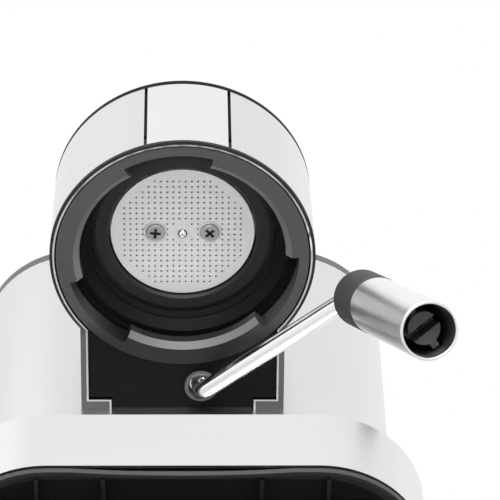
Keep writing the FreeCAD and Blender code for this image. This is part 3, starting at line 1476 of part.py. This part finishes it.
def make_control_board():
    """Main circuit board behind the chassis with its relays and capacitor."""
    body = new_body("control_board")
    face = "(chassis_y + chassis_sheet + board_standoff)"
    pad(body, [rectangle("-board_half", "board_half", "board_low", "board_top")], face, "board_thickness",
        plane="XZ_Plane")
    high = "board_top - 10"
    blocks = [rectangle("-38", "-18", high + " - 25", high), rectangle("-12", "8", high + " - 25", high),
              rectangle("14", "38", high + " - 35", high), rectangle("-38", "-8", "board_low + 10",
                                                                     "board_low + 40")]
    pad(body, blocks, face + " + board_thickness - 0.1", "relay_depth", plane="XZ_Plane")
    pad(body, [circle("20", "board_low + 25", "capacitor_radius")], face + " + board_thickness - 0.1",
        "capacitor_depth", plane="XZ_Plane")
    pad(body, [circle(x, z, "3") for x in ("5 - board_half", "board_half - 5")
               for z in ("board_low + 5", "board_top - 5")],
        "chassis_y + chassis_sheet + 0.05", "board_standoff", plane="XZ_Plane")
    return body


def make_boiler_tubes():
    """Three metal tubes: boiler to brew group, steam valve to wand, and pump to boiler."""
    radius = value("tube_radius")
    wall = value("tube_wall")
    bend = value("tube_bend")
    group_z = "group_height + recess_depth + group_flange + group_boss_height / 2"
    group_run = [vector("0", boiler_front + " + 7", group_z),
                 vector("0", "head_y + group_boss_radius + 0.05", group_z)]
    valve_x = "-%s + valve_inset + valve_length / 2" % half
    low = "group_height + 19"
    entry = "(chassis_y - boiler_depth - 8)"
    steam_run = [vector("wand_x", "wand_y", "group_height + wand_stub + 0.4"),
                 vector("wand_x", "wand_y", low),
                 vector("wand_x", entry, low), vector(valve_x, entry, low), vector(valve_x, "knob_y", low),
                 vector(valve_x, "knob_y", "knob_z - valve_radius - 1.5")]
    pump_run = [vector("pump_x", "pump_y", "pump_low + pump_length + 6.1"),
                vector("pump_x", "pump_y", "boiler_low - 22"), vector("pump_x + 8", "pump_y",
                                                                      "boiler_low - 14"),
                vector("pump_x + 8", "pump_y", "boiler_low - 0.1")]
    tubes = [pipe(group_run, bend, radius, wall), pipe(steam_run, bend, radius, wall),
             pipe(pump_run, bend - 1, radius, wall)]
    return feature_from_shape("boiler_tubes", Part.makeCompound(tubes))


def make_water_hoses():
    """Two hoses: tank inlet to flow meter, and flow meter to pump."""
    radius = value("hose_radius")
    wall = value("hose_wall")
    bend = value("tube_bend")
    inlet_y = "(%s + %s) / 2" % (tank_front, tank_back)
    low = "%s - dock_wall - 14" % dock_top
    meter_low = "meter_z - 8.1"
    feed_run = [vector("0", inlet_y, dock_top + " - dock_wall - 2.6"), vector("0", inlet_y, low),
                vector("0", "60", low), vector("meter_x", "30", low), vector("meter_x", "meter_y", low),
                vector("meter_x", "meter_y", meter_low)]
    port = "meter_x - meter_radius - 8.1"
    turn_z = "34"
    pump_run = [vector(port, "meter_y", "meter_z + meter_height / 2"),
                vector("1", "meter_y", "meter_z + meter_height / 2"),
                vector("1", "meter_y", turn_z), vector("pump_x", "pump_y", turn_z),
                vector("pump_x", "pump_y", "pump_low - 6.1")]
    hoses = [pipe(feed_run, bend, radius, wall), pipe(pump_run, bend, radius - 0.3, wall)]
    return feature_from_shape("water_hoses", Part.makeCompound(hoses))


# ---------------------------------------------------------------------------------------------
# Build every piece, check it and write it
# ---------------------------------------------------------------------------------------------
BUILDERS = [
    make_base_plate, make_feet, make_base_deck, make_column_shell, make_top_frame, make_cup_plate,
    make_rear_cover, make_cover_screws, make_chassis, make_head_shell, make_front_fascia, make_head_liner,
    make_head_frame, make_head_trim, make_neck_plate, make_head_cap, make_button_bezels, make_buttons,
    make_indicator_lenses, make_button_board, make_collar_ring, make_recess_liner, make_group_gasket,
    make_group_body, make_shower_screen, make_screen_screws, make_screen_pin, make_wand_tube,
    make_wand_socket, make_wand_grommet, make_frother, make_steam_valve, make_steam_spindle,
    make_steam_knob, make_tray_skirt, make_drip_tray, make_drip_grid, make_tray_float, make_tank_dock,
    make_tank_inlet, make_water_tank, make_tank_valve, make_tank_lid, make_cord_gland, make_boiler,
    make_pump, make_solenoid_valve, make_flow_meter, make_control_board, make_boiler_tubes,
    make_water_hoses,
]
for build_piece in BUILDERS:
    build_piece()
    document.recompute()

broken = [item.Name for item in document.Objects if "Invalid" in item.State or "Error" in item.State]
pieces = [item for item in document.Objects
          if item.TypeId in ("PartDesign::Body", "Part::Feature")]
for piece in pieces:
    if piece.Shape.isNull() or not piece.Shape.isValid() or not piece.Shape.Solids:
        broken.append(piece.Label)
if broken:
    raise SystemExit("these objects failed: " + ", ".join(broken))

os.makedirs("parts", exist_ok=True)
for piece in pieces:
    piece.Shape.exportStep(os.path.join("parts", piece.Label + ".step"))
    box = piece.Shape.BoundBox
    print("%-18s solids %d  x %.1f..%.1f  y %.1f..%.1f  z %.1f..%.1f" % (
        piece.Label, len(piece.Shape.Solids), box.XMin, box.XMax, box.YMin, box.YMax, box.ZMin, box.ZMax))
print(len(pieces), "pieces written")
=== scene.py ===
# %% [markdown]
# # A slim espresso machine, seen from below its brew head
#
# The machine has four big shapes: a steel drum that carries the brew group, a tall column behind it,
# a low base, and a water tank at the very back.  This notebook dresses the finished solids in their
# materials, adds a few fine pieces that are easier to make as meshes, and sets up the studio.

# %% Start
import json
import math
import bpy
from mathutils import Matrix, Vector


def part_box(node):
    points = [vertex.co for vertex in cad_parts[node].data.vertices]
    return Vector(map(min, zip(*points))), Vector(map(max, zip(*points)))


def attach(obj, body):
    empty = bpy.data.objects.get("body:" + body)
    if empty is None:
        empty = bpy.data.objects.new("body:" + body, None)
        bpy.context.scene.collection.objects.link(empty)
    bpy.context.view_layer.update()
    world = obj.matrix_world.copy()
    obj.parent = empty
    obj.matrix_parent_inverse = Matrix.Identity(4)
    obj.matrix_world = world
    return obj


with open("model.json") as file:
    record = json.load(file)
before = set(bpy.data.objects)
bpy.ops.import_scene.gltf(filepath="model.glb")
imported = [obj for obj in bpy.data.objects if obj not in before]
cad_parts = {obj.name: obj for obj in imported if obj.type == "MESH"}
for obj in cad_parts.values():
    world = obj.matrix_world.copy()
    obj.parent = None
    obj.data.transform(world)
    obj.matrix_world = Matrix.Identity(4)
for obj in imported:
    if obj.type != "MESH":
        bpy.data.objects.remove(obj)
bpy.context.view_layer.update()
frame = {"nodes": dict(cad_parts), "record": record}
nodes = frame["nodes"]
MM = 0.001

# %% [markdown]
# ## Writing shaders like sums
#
# A procedural material is a calculation.  Wrapping each socket in a small class lets the calculation
# be written as ordinary sums, so that a line such as `0.3 + 0.1 * noise` adds the two Math nodes.
# Colours and directions have their own node types, so they go through one general `node` method.


# %% A socket that can be added and multiplied
class Flow:
    def __init__(self, tree, socket):
        self.tree = tree
        self.socket = socket

    def math(self, kind, *others):
        made = self.tree.nodes.new("ShaderNodeMath")
        made.operation = kind
        for slot, item in enumerate((self,) + others):
            plug(self.tree, made.inputs[slot], item)
        return Flow(self.tree, made.outputs[0])

    def __add__(self, other):
        return self.math("ADD", other)

    def __mul__(self, other):
        return self.math("MULTIPLY", other)

    def __sub__(self, other):
        return self.math("SUBTRACT", other)

    def __radd__(self, other):
        return self.math("ADD", other)

    def __rmul__(self, other):
        return self.math("MULTIPLY", other)

    def __rsub__(self, other):
        return (self * -1.0) + other

    def above(self, edge):
        return self.math("GREATER_THAN", edge)

    def smooth(self, low, high):
        return self.node("ShaderNodeMapRange", {"interpolation_type": "SMOOTHSTEP"},
                         {"Value": self, "From Min": low, "From Max": high})

    def node(self, kind, settings=None, inputs=None, output=0):
        made = self.tree.nodes.new(kind)
        for name, setting in (settings or {}).items():
            setattr(made, name, setting)
        for name, item in (inputs or {}).items():
            plug(self.tree, made.inputs[name], item)
        return Flow(self.tree, made.outputs[output])

    def blend(self, first, second):
        return self.node("ShaderNodeMix", {"data_type": "RGBA"}, {0: self, 6: first, 7: second}, 2)


def plug(tree, socket, item):
    if isinstance(item, Flow):
        tree.links.new(item.socket, socket)
    elif isinstance(item, (tuple, list)) and len(item) == 3 and len(socket.default_value) == 4:
        socket.default_value = (*item, 1.0)
    else:
        socket.default_value = item


# %% [markdown]
# ## One start for every material
#
# Each material starts from the place of the surface in metres, so grain and brushing keep their real
# size on every piece.  `finish` then feeds the shader, and a fine bump gives the surface its tooth.


# %% Material start and finish
def start(name):
    material = bpy.data.materials.new(name)
    material.use_nodes = True
    tree = material.node_tree
    place = Flow(tree, tree.nodes.new("ShaderNodeTexCoord").outputs["Object"])
    return material, place


def noise(place, stretch, detail=3.0, rough=0.5):
    scaled = place.node("ShaderNodeVectorMath", {"operation": "MULTIPLY"}, {0: place, 1: stretch})
    return place.node("ShaderNodeTexNoise", {}, {"Vector": scaled, "Scale": 1.0, "Detail": detail,
                                                 "Roughness": rough})


BUMP_STRENGTH = 0.35


def finish(material, place, colour, rough, metal=0.0, bump=None, depth=0.0002, **constants):
    tree = material.node_tree
    shader = tree.nodes["Principled BSDF"]
    for name, item in (("Base Color", colour), ("Roughness", rough), ("Metallic", metal)):
        plug(tree, shader.inputs[name], item)
    for name, item in constants.items():
        shader.inputs[name.replace("_", " ")].default_value = item
    if bump is not None:
        lifted = place.node("ShaderNodeBump", {}, {"Strength": BUMP_STRENGTH, "Distance": depth,
                                                      "Height": bump})
        plug(tree, shader.inputs["Normal"], lifted)
    return material


# %% [markdown]
# ## Steel
#
# The housing is satin sheet.  Long thin scratches run one way, so the noise is stretched a lot along
# that direction.  The bright parts (trim, wand, socket) are polished: almost no scratches, only a faint
# cloud that keeps the reflection from looking like a perfect mirror.


# %% Steel
def satin_steel(name, shade, rough, stretch, streak=0.035, metal=1.0):
    material, place = start(name)
    lines = noise(place, stretch, detail=4.0, rough=0.6)
    cloud = noise(place, (9.0, 9.0, 9.0), detail=2.0)
    tone = shade + streak * (lines - 0.5) + 0.02 * (cloud - 0.5)
    parts = {"Red": tone, "Green": tone * 0.997, "Blue": tone * 0.99}
    colour = place.node("ShaderNodeCombineColor", {}, parts)
    return finish(material, place, colour, rough + 0.1 * (lines - 0.5) + 0.04 * (cloud - 0.5), metal,
                  bump=lines, depth=0.000003)


def polished_steel(name, shade, rough):
    material, place = start(name)
    cloud = noise(place, (60.0, 60.0, 60.0), detail=2.0)
    tone = shade + 0.03 * (cloud - 0.5)
    colour = place.node("ShaderNodeCombineColor", {}, {"Red": tone, "Green": tone, "Blue": tone * 1.005})
    return finish(material, place, colour, rough + 0.03 * cloud, 1.0)


# %% [markdown]
# ## Plastic, rubber and cast metal
#
# Moulded plastic has a fine leathery grain and small changes in gloss where hands touch it.  Rubber is
# duller, with a dusty edge.  Cast and zinc plated metal have larger clouds.


# %% Plastic and the rest
def moulded(name, tone, rough, grain=900.0, spread=0.25, tint=(1.0, 1.0, 1.0), **constants):
    material, place = start(name)
    fine = noise(place, (grain, grain, grain), detail=2.0)
    cloud = noise(place, (22.0, 22.0, 22.0), detail=3.0)
    shade = tone * (1.0 - spread / 2) + (tone * spread) * cloud
    parts = {"Red": shade * tint[0], "Green": shade * tint[1], "Blue": shade * tint[2]}
    colour = place.node("ShaderNodeCombineColor", {}, parts)
    return finish(material, place, colour, rough + 0.12 * (cloud - 0.5) + 0.05 * (fine - 0.5), 0.0,
                  bump=fine, depth=0.00003, **constants)


def cast(name, tint, rough, metal=1.0, size=160.0):
    material, place = start(name)
    pits = noise(place, (size * 4, size * 4, size * 4), detail=4.0)
    cloud = noise(place, (size / 5, size / 5, size / 5), detail=3.0)
    dark = tuple(channel * 0.82 for channel in tint)
    return finish(material, place, cloud.blend(dark, tint), rough + 0.15 * (pits - 0.5), metal,
                  bump=pits, depth=0.00008)


def clear(name, tint, cover, rough):
    material, place = start(name)
    cloud = noise(place, (14.0, 14.0, 14.0), detail=2.0)
    dark = tuple(channel * 0.9 for channel in tint)
    made = finish(material, place, cloud.blend(dark, tint), rough + 0.05 * cloud, 0.0,
                  bump=cloud, depth=0.0001)
    plug(made.node_tree, made.node_tree.nodes["Principled BSDF"].inputs["Alpha"], cover + 0.05 * cloud)
    return made


# %% [markdown]
# ## Coated metal of the collar and the flange, with painted light and shade
#
# The collar is a dark coated casting.  Its flat face is grey.  The slopes of collar and flange take a painted
# tone of their own, set by how far each face tips from flat.  This painted light makes the collar's chamfers
# paler.  Towards the column the collar's tone falls, a painted shade from the neck, and the flange's tone
# rises, a painted light.  So each blends between two values from a front line to a back line across the
# machine's depth.


# %% Coats
SHADE_FRONT = -78.0 * MM
SHADE_BACK = -66.0 * MM
PAINTED_SLOPE_BAND = ((0.25, 0.50), (0.85, 0.97))


def coated(name, front_tone, back_tone, painted_slope_tone, rough):
    material, place = start(name)
    fine = noise(place, (700.0, 700.0, 700.0), detail=2.0)
    cloud = noise(place, (22.0, 22.0, 22.0), detail=3.0)
    # Painted shade and light: the tone blends from front to back, falling on the collar and rising on the
    # flange towards the neck.
    depth = place.node("ShaderNodeSeparateXYZ", {}, {"Vector": place}, 1).smooth(SHADE_FRONT, SHADE_BACK)
    flat_tone = front_tone + (back_tone - front_tone) * depth
    geometry = material.node_tree.nodes.new("ShaderNodeNewGeometry")
    facing = Flow(material.node_tree, geometry.outputs["True Normal"])
    # Painted light: faces that tip between flat and upright take the slopes' own painted tone.
    tip = facing.node("ShaderNodeSeparateXYZ", {}, {"Vector": facing}, 2).math("ABSOLUTE")
    painted_slope_mask = tip.smooth(*PAINTED_SLOPE_BAND[0]) * (1.0 - tip.smooth(*PAINTED_SLOPE_BAND[1]))
    tone = (flat_tone + (painted_slope_tone - flat_tone) * painted_slope_mask) * (0.9 + 0.2 * cloud)
    colour = place.node("ShaderNodeCombineColor", {}, {"Red": tone, "Green": tone, "Blue": tone})
    return finish(material, place, colour, rough + 0.12 * (cloud - 0.5), 0.0, bump=fine, depth=0.00003)


# %% [markdown]
# ## Screws of the screen
#
# Their heads are satin steel, and the cross recess is painted dark: painted shade that also takes the metal
# away there.  The recess is where the surface lies above the head's face and close to a screw's own axis, so
# those two tests make the mask.


# %% Screws
RECESS_START = 0.15 * MM
RECESS_REACH = 0.66


def screw_with_painted_recess_shade(name, shade, recess_shade_tone, rough):
    material, place = start(name)
    first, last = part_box("screen_screws")
    face_level = first[2] + RECESS_START
    middle = (first[1] + last[1]) / 2
    head = (last[1] - first[1]) / 2
    reach = (last[0] - first[0]) / 2 - head
    lines = noise(place, (4.0, 1500.0, 1500.0), detail=4.0)
    across = place.node("ShaderNodeSeparateXYZ", {}, {"Vector": place}, 0).math("ABSOLUTE") - reach
    along = place.node("ShaderNodeSeparateXYZ", {}, {"Vector": place}, 1) - middle
    height = place.node("ShaderNodeSeparateXYZ", {}, {"Vector": place}, 2)
    distance = (across * across + along * along).math("SQRT")
    # Painted shade: inside the cross recess the tone is painted dark and the metal is taken away.
    recess = height.above(face_level) * (1.0 - distance.above(head * RECESS_REACH))
    tone = (shade + 0.05 * (lines - 0.5)) * (1.0 - recess) + recess_shade_tone * recess
    colour = place.node("ShaderNodeCombineColor", {}, {"Red": tone, "Green": tone, "Blue": tone})
    return finish(material, place, colour, rough + 0.1 * (lines - 0.5), 1.0 - recess)


# %% [markdown]
# ## One finish for each kind of surface
#
# The three stretches say which way the fine scratches run: round a turned part, up a sleeve, or across
# a flat sheet.  Every solid then takes the finish that the record names for it, apart from three that
# need their own: the fascia, the screen's screws and the flange.

# %% Finishes
ROUND = (5.0, 5.0, 1400.0)
UPRIGHT = (900.0, 900.0, 3.0)
ACROSS = (4.0, 1500.0, 1500.0)
FINISHES = {
    "drum_steel": satin_steel("drum_steel", 0.74, 0.27, ROUND, 0.02),
    "fascia_steel": satin_steel("fascia_steel", 0.84, 0.27, ROUND, 0.02),
    "column_steel": satin_steel("column_steel", 0.75, 0.30, ROUND, 0.02),
    "tray_steel": satin_steel("tray_steel", 0.755, 0.30, ROUND, 0.02),
    "bright_steel": polished_steel("bright_steel", 0.88, 0.07),
    "wand_steel": polished_steel("wand_steel", 0.97, 0.10),
    "sleeve_steel": satin_steel("sleeve_steel", 0.86, 0.30, UPRIGHT, 0.07),
    "screen_steel": satin_steel("screen_steel", 0.95, 0.34, ACROSS, 0.03, metal=0.55),
    "screw_steel": screw_with_painted_recess_shade("screw_steel", 0.55, 0.006, 0.30),
    # The collar and the flange carry painted shade and light, from front to back and on their slopes.
    "collar_metal": coated("collar_metal", 0.058, 0.008, 0.14, 0.42),
    "frame_grey": moulded("frame_grey", 0.11, 0.45, 800.0),
    "flange_grey": coated("flange_grey", 0.006, 0.10, 0.02, 0.45),
    "black_plastic": moulded("black_plastic", 0.005, 0.55, 900.0, Specular_IOR_Level=0.12),
    "base_plastic": moulded("base_plastic", 0.035, 0.50, 1100.0),
    "grip_rubber": moulded("grip_rubber", 0.022, 0.62, 500.0),
    "seal_rubber": moulded("seal_rubber", 0.01, 0.60, 400.0),
    "foot_rubber": moulded("foot_rubber", 0.02, 0.75, 400.0),
    "insert_plastic": moulded("insert_plastic", 0.035, 0.45, 900.0),
    "button_steel": satin_steel("button_steel", 0.82, 0.28, ACROSS),
    "lens_clear": clear("lens_clear", (0.85, 0.9, 1.0), 0.5, 0.1),
    "tank_clear": clear("tank_clear", (0.42, 0.47, 0.52), 0.35, 0.12),
    "knob_black": moulded("knob_black", 0.018, 0.38, 900.0),
    "cast_metal": cast("cast_metal", (0.62, 0.62, 0.63), 0.45),
    "valve_brass": cast("valve_brass", (0.72, 0.52, 0.22), 0.30),
    "frame_sheet": cast("frame_sheet", (0.50, 0.51, 0.52), 0.40),
    "coil_plastic": moulded("coil_plastic", 0.03, 0.5, 600.0, tint=(0.9, 1.0, 1.15)),
    "board_green": moulded("board_green", 0.12, 0.4, 300.0, tint=(0.25, 1.0, 0.5)),
    "hose_white": moulded("hose_white", 0.62, 0.5, 300.0, spread=0.1),
    "tube_metal": polished_steel("tube_metal", 0.72, 0.22),
}
slot_of = {entry["node"]: entry["material_slot"] for entry in frame["record"]["subparts"]}
slot_of.update(front_fascia="fascia_steel", screen_screws="screw_steel", head_frame="flange_grey")
for name, item in nodes.items():
    item.data.materials.clear()
    item.data.materials.append(FINISHES[slot_of[name]])
print("finishes:", len(FINISHES))

# %% [markdown]
# ## Broken edges
#
# No moulded or pressed edge is perfectly sharp, and it is the thin bright line along each edge that tells the
# eye how big a thing is.  A bevel of a few tenths of a millimetre gives that line.  On the collar the bevel
# takes a paler material of its own.

# %% Bevels
PALE_EDGE = moulded("pale_edge", 0.20, 0.38, 700.0)
EDGES = {"collar_ring": 0.35, "top_frame": 0.3, "drip_grid": 0.2, "tray_skirt": 0.25, "column_shell": 0.25,
         "base_plate": 0.7, "steam_knob": 0.6, "tank_lid": 0.4, "wand_grommet": 0.2, "head_frame": 0.15,
         "boiler_block": 0.6, "boiler_cover": 0.6, "pump_coil": 0.5, "tank_dock": 0.4, "water_tank": 0.4}
for name, width in EDGES.items():
    bevel = nodes[name].modifiers.new("edge", "BEVEL")
    bevel.width = width * MM
    bevel.segments = 2
    bevel.limit_method = "ANGLE"
    bevel.angle_limit = math.radians(38)
    bevel.use_clamp_overlap = True
    if name == "collar_ring":
        nodes[name].data.materials.append(PALE_EDGE)
        bevel.material = 1
print("bevelled:", len(EDGES))


# %% [markdown]
# ## Making a mesh from loops
#
# Nearly every added piece is a stack of closed loops: rings of points joined by quads, like the hoops
# of a barrel.  One function joins any stack, so that each piece only has to say where its loops are.


# %% Mesh helpers
def mesh_piece(name, points, faces, slot, body):
    mesh = bpy.data.meshes.new(name)
    mesh.from_pydata([tuple(point) for point in points], [], faces)
    mesh.update()
    mesh.shade_smooth()
    item = bpy.data.objects.new(name, mesh)
    bpy.context.scene.collection.objects.link(item)
    mesh.materials.append(FINISHES[slot])
    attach(item, body)
    return item


def stack(loops, closed=False):
    count = len(loops[0])
    points = [point for loop in loops for point in loop]
    rows = len(loops)
    faces = []
    for row in range(rows if closed else rows - 1):
        near = row * count
        far = (row + 1) % rows * count
        for step in range(count):
            after = (step + 1) % count
            faces.append((near + step, near + after, far + after, far + step))
    if not closed:
        faces.append(tuple(range(count))[::-1])
        faces.append(tuple(range((rows - 1) * count, rows * count)))
    return points, faces


def turned(profile, centre, steps=64):
    loops = []
    for radius, height in profile:
        loops.append([Vector((centre[0] + radius * math.cos(2 * math.pi * k / steps),
                              centre[1] + radius * math.sin(2 * math.pi * k / steps), height))
                      for k in range(steps)])
    return loops


# %% [markdown]
# ## Dished surrounds of the screen's screws
#
# The screen is pressed up around each screw so that the head sits lower than the holes.  The press
# leaves a soft raised ring.  It is too shallow to matter to the solid, so it is a thin turned ring.

# %% Screw surrounds
screws_low, screws_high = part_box("screen_screws")
SCREW_HEAD = 3.25 * MM
screen_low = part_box("shower_screen")[0][2]
middle_y = (screws_low[1] + screws_high[1]) / 2
spacing = (screws_high[0] - screws_low[0]) / 2 - SCREW_HEAD
for side, word in ((-1, "left"), (1, "right")):
    profile = [(3.4 * MM, screen_low - 0.02 * MM), (3.55 * MM, screen_low - 0.2 * MM),
               (3.8 * MM, screen_low - 0.2 * MM), (4.1 * MM, screen_low - 0.02 * MM)]
    points, faces = stack(turned(profile, (side * spacing, middle_y)), closed=True)
    mesh_piece("screw_surround_" + word, points, faces, "screen_steel", "machine")
print("surrounds at", round(spacing * 1000, 2), "mm")

# %% [markdown]
# ## Water in the tank
#
# The water fills the tank to about two thirds.  Its outline is the tank's own, a little smaller, and
# its top edge curls up where it wets the wall.


# %% Water
def rounded(low, high, corner, height, inset=0.0, steps=10):
    loop = []
    reach = corner - inset
    for turn, (sx, sy) in enumerate(((1, -1), (1, 1), (-1, 1), (-1, -1))):
        centre_x = (high[0] if sx > 0 else low[0]) - sx * corner
        centre_y = (high[1] if sy > 0 else low[1]) - sy * corner
        for step in range(steps):
            angle = math.radians(-90 + 90 * turn + 90 * step / (steps - 1))
            loop.append(Vector((centre_x + reach * math.cos(angle), centre_y + reach * math.sin(angle),
                                height)))
    return loop


tank_low, tank_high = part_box("water_tank")
wall = 2.5 * MM
low = (tank_low[0] + wall, tank_low[1] + wall)
high = (tank_high[0] - wall, tank_high[1] - wall)
floor_level = tank_low[2] + 14 * MM
surface = tank_low[2] + (tank_high[2] - tank_low[2]) * 0.66
levels = [(floor_level, 2 * MM), (floor_level + 1.5 * MM, 0.2 * MM), (surface, 0.2 * MM),
          (surface + 1.0 * MM, 0.15 * MM), (surface + 1.0 * MM, 0.5 * MM), (surface + 0.2 * MM, 1.6 * MM),
          (surface, 3.0 * MM)]
loops = [rounded(low, high, 13 * MM, height, inset) for height, inset in levels]
points, faces = stack(loops)
FINISHES["water"] = clear("water", (0.75, 0.86, 0.92), 0.16, 0.03)
water = mesh_piece("tank_water", points, faces, "tank_clear", "tank")
water.data.materials[0] = FINISHES["water"]
print("water up to", round(surface * 1000), "mm")

# %% [markdown]
# ## Knob pointer
#
# A thin pale inlay on the knob's grip bar shows how far it is turned.  It stands a hair above the bar.

# %% Pointer
knob_low, knob_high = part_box("steam_knob")
knob_y = (knob_low[1] + knob_high[1]) / 2
face_x = knob_low[0] + 0.02 * MM
line_loops = []
for depth, half_wide in ((0.25, 0.7), (0.0, 0.55)):
    x = face_x + depth * MM
    top = knob_high[2] - 3.0 * MM
    base = top - 8.0 * MM
    line_loops.append([Vector((x, knob_y - half_wide * MM, base)), Vector((x, knob_y + half_wide * MM, base)),
                       Vector((x, knob_y + half_wide * MM, top)), Vector((x, knob_y - half_wide * MM, top))])
points, faces = stack(line_loops)
mesh_piece("knob_pointer", points, faces, "hose_white", "knob")
print("pointer at x", round(face_x * 1000, 2), "mm")

# %% [markdown]
# ## Studio
#
# A pale floor and a bright, even room.  The floor is glass clear when looked at from below, so that the
# machine's underside can be seen while the floor still sends light up from above.

# %% Floor
FLOOR_REACH = 8.0
FLOOR_DROP = 0.0004
floor_points = [(FLOOR_REACH * x, FLOOR_REACH * y, -FLOOR_DROP)
                for x, y in ((-1, -1), (1, -1), (1, 1), (-1, 1))]
floor_mesh = bpy.data.meshes.new("floor")
floor_mesh.from_pydata(floor_points, [], [(0, 1, 2, 3)])
floor = bpy.data.objects.new("floor", floor_mesh)
bpy.context.scene.collection.objects.link(floor)
floor_material, place = start("floor_paint")
cloud = noise(place, (3.0, 3.0, 3.0), detail=2.0)
finish(floor_material, place, cloud.blend((0.80, 0.80, 0.80), (0.84, 0.84, 0.84)), 0.6 + 0.1 * cloud)
tree = floor_material.node_tree
back = Flow(tree, tree.nodes.new("ShaderNodeNewGeometry").outputs["Backfacing"])
through = back.node("ShaderNodeBsdfTransparent")
seen = back.node("ShaderNodeMixShader", {}, {0: back, 1: Flow(tree, tree.nodes["Principled BSDF"].outputs[0]),
                                             2: through})
tree.links.new(seen.socket, tree.nodes["Material Output"].inputs["Surface"])
floor_mesh.materials.append(floor_material)
print("floor reaches", FLOOR_REACH, "m each way")

# %% [markdown]
# ## Light
#
# The room itself is white.  Soft panels give the steel its gradients: a big one above and to the left, a
# dim one on the right, and a small one just over the floor in front, which lights the screen and the
# underside of the head.  One more stands below the floor, whose underside lets light through, and adds
# only a little from low in front.

# %% Lights
bpy.context.scene.view_settings.view_transform = "Standard"
world = bpy.data.worlds.new("room")
bpy.context.scene.world = world
world.use_nodes = True
world.node_tree.nodes["Background"].inputs["Color"].default_value = (1.0, 1.0, 1.0, 1.0)
world.node_tree.nodes["Background"].inputs["Strength"].default_value = 1.0


def panel(name, place, aim, size, power):
    lamp = bpy.data.lights.new(name, "AREA")
    lamp.shape = "RECTANGLE"
    lamp.size, lamp.size_y = size
    lamp.energy = power
    item = bpy.data.objects.new(name, lamp)
    item.location = place
    item.rotation_euler = (Vector(aim) - Vector(place)).to_track_quat("-Z", "Y").to_euler()
    bpy.context.scene.collection.objects.link(item)


HEAD = Vector((0.0, -0.1, 0.19))
panel("over_left", (-0.9, -0.7, 1.0), HEAD, (0.9, 0.9), 0.6)
panel("low_front", (0.3, -1.1, -0.5), HEAD, (0.7, 0.5), 1.6)
panel("right_side", (1.1, -0.1, 0.5), HEAD, (0.4, 1.0), 0.6)
panel("under_fill", (0.0, -0.55, 0.03), HEAD, (0.30, 0.12), 2.6)

# %% [markdown]
# ## Camera
#
# A long lens, low in front and tilted up, looks under the head.  The drum is left of the middle, so
# the lens is swung a little to the right about its own upright.

# %% Camera
EYE = Vector((0.0, -0.77741, -0.92465))
TILT = math.radians(58.733)
LENS = 277.2
AXIS_OFFSET = 0.01751
camera_data = bpy.data.cameras.new("camera")
camera_data.lens = LENS
camera_data.sensor_width = 36.0
camera_data.clip_start = 0.05
camera_data.clip_end = 20.0
camera = bpy.data.objects.new("camera", camera_data)
look = Vector((0.0, math.cos(TILT), math.sin(TILT)))
side = Vector((1.0, 0.0, 0.0))
look = (look + AXIS_OFFSET * side).normalized()
upright = Vector((0.0, -math.sin(TILT), math.cos(TILT)))
side = look.cross(upright).normalized()
upright = side.cross(look).normalized()
turned_view = Matrix((side, upright, -look)).transposed().to_4x4()
camera.matrix_world = Matrix.Translation(EYE) @ turned_view
bpy.context.scene.collection.objects.link(camera)
bpy.context.scene.camera = camera
print("camera", round((EYE - HEAD).length, 3), "m from the head")
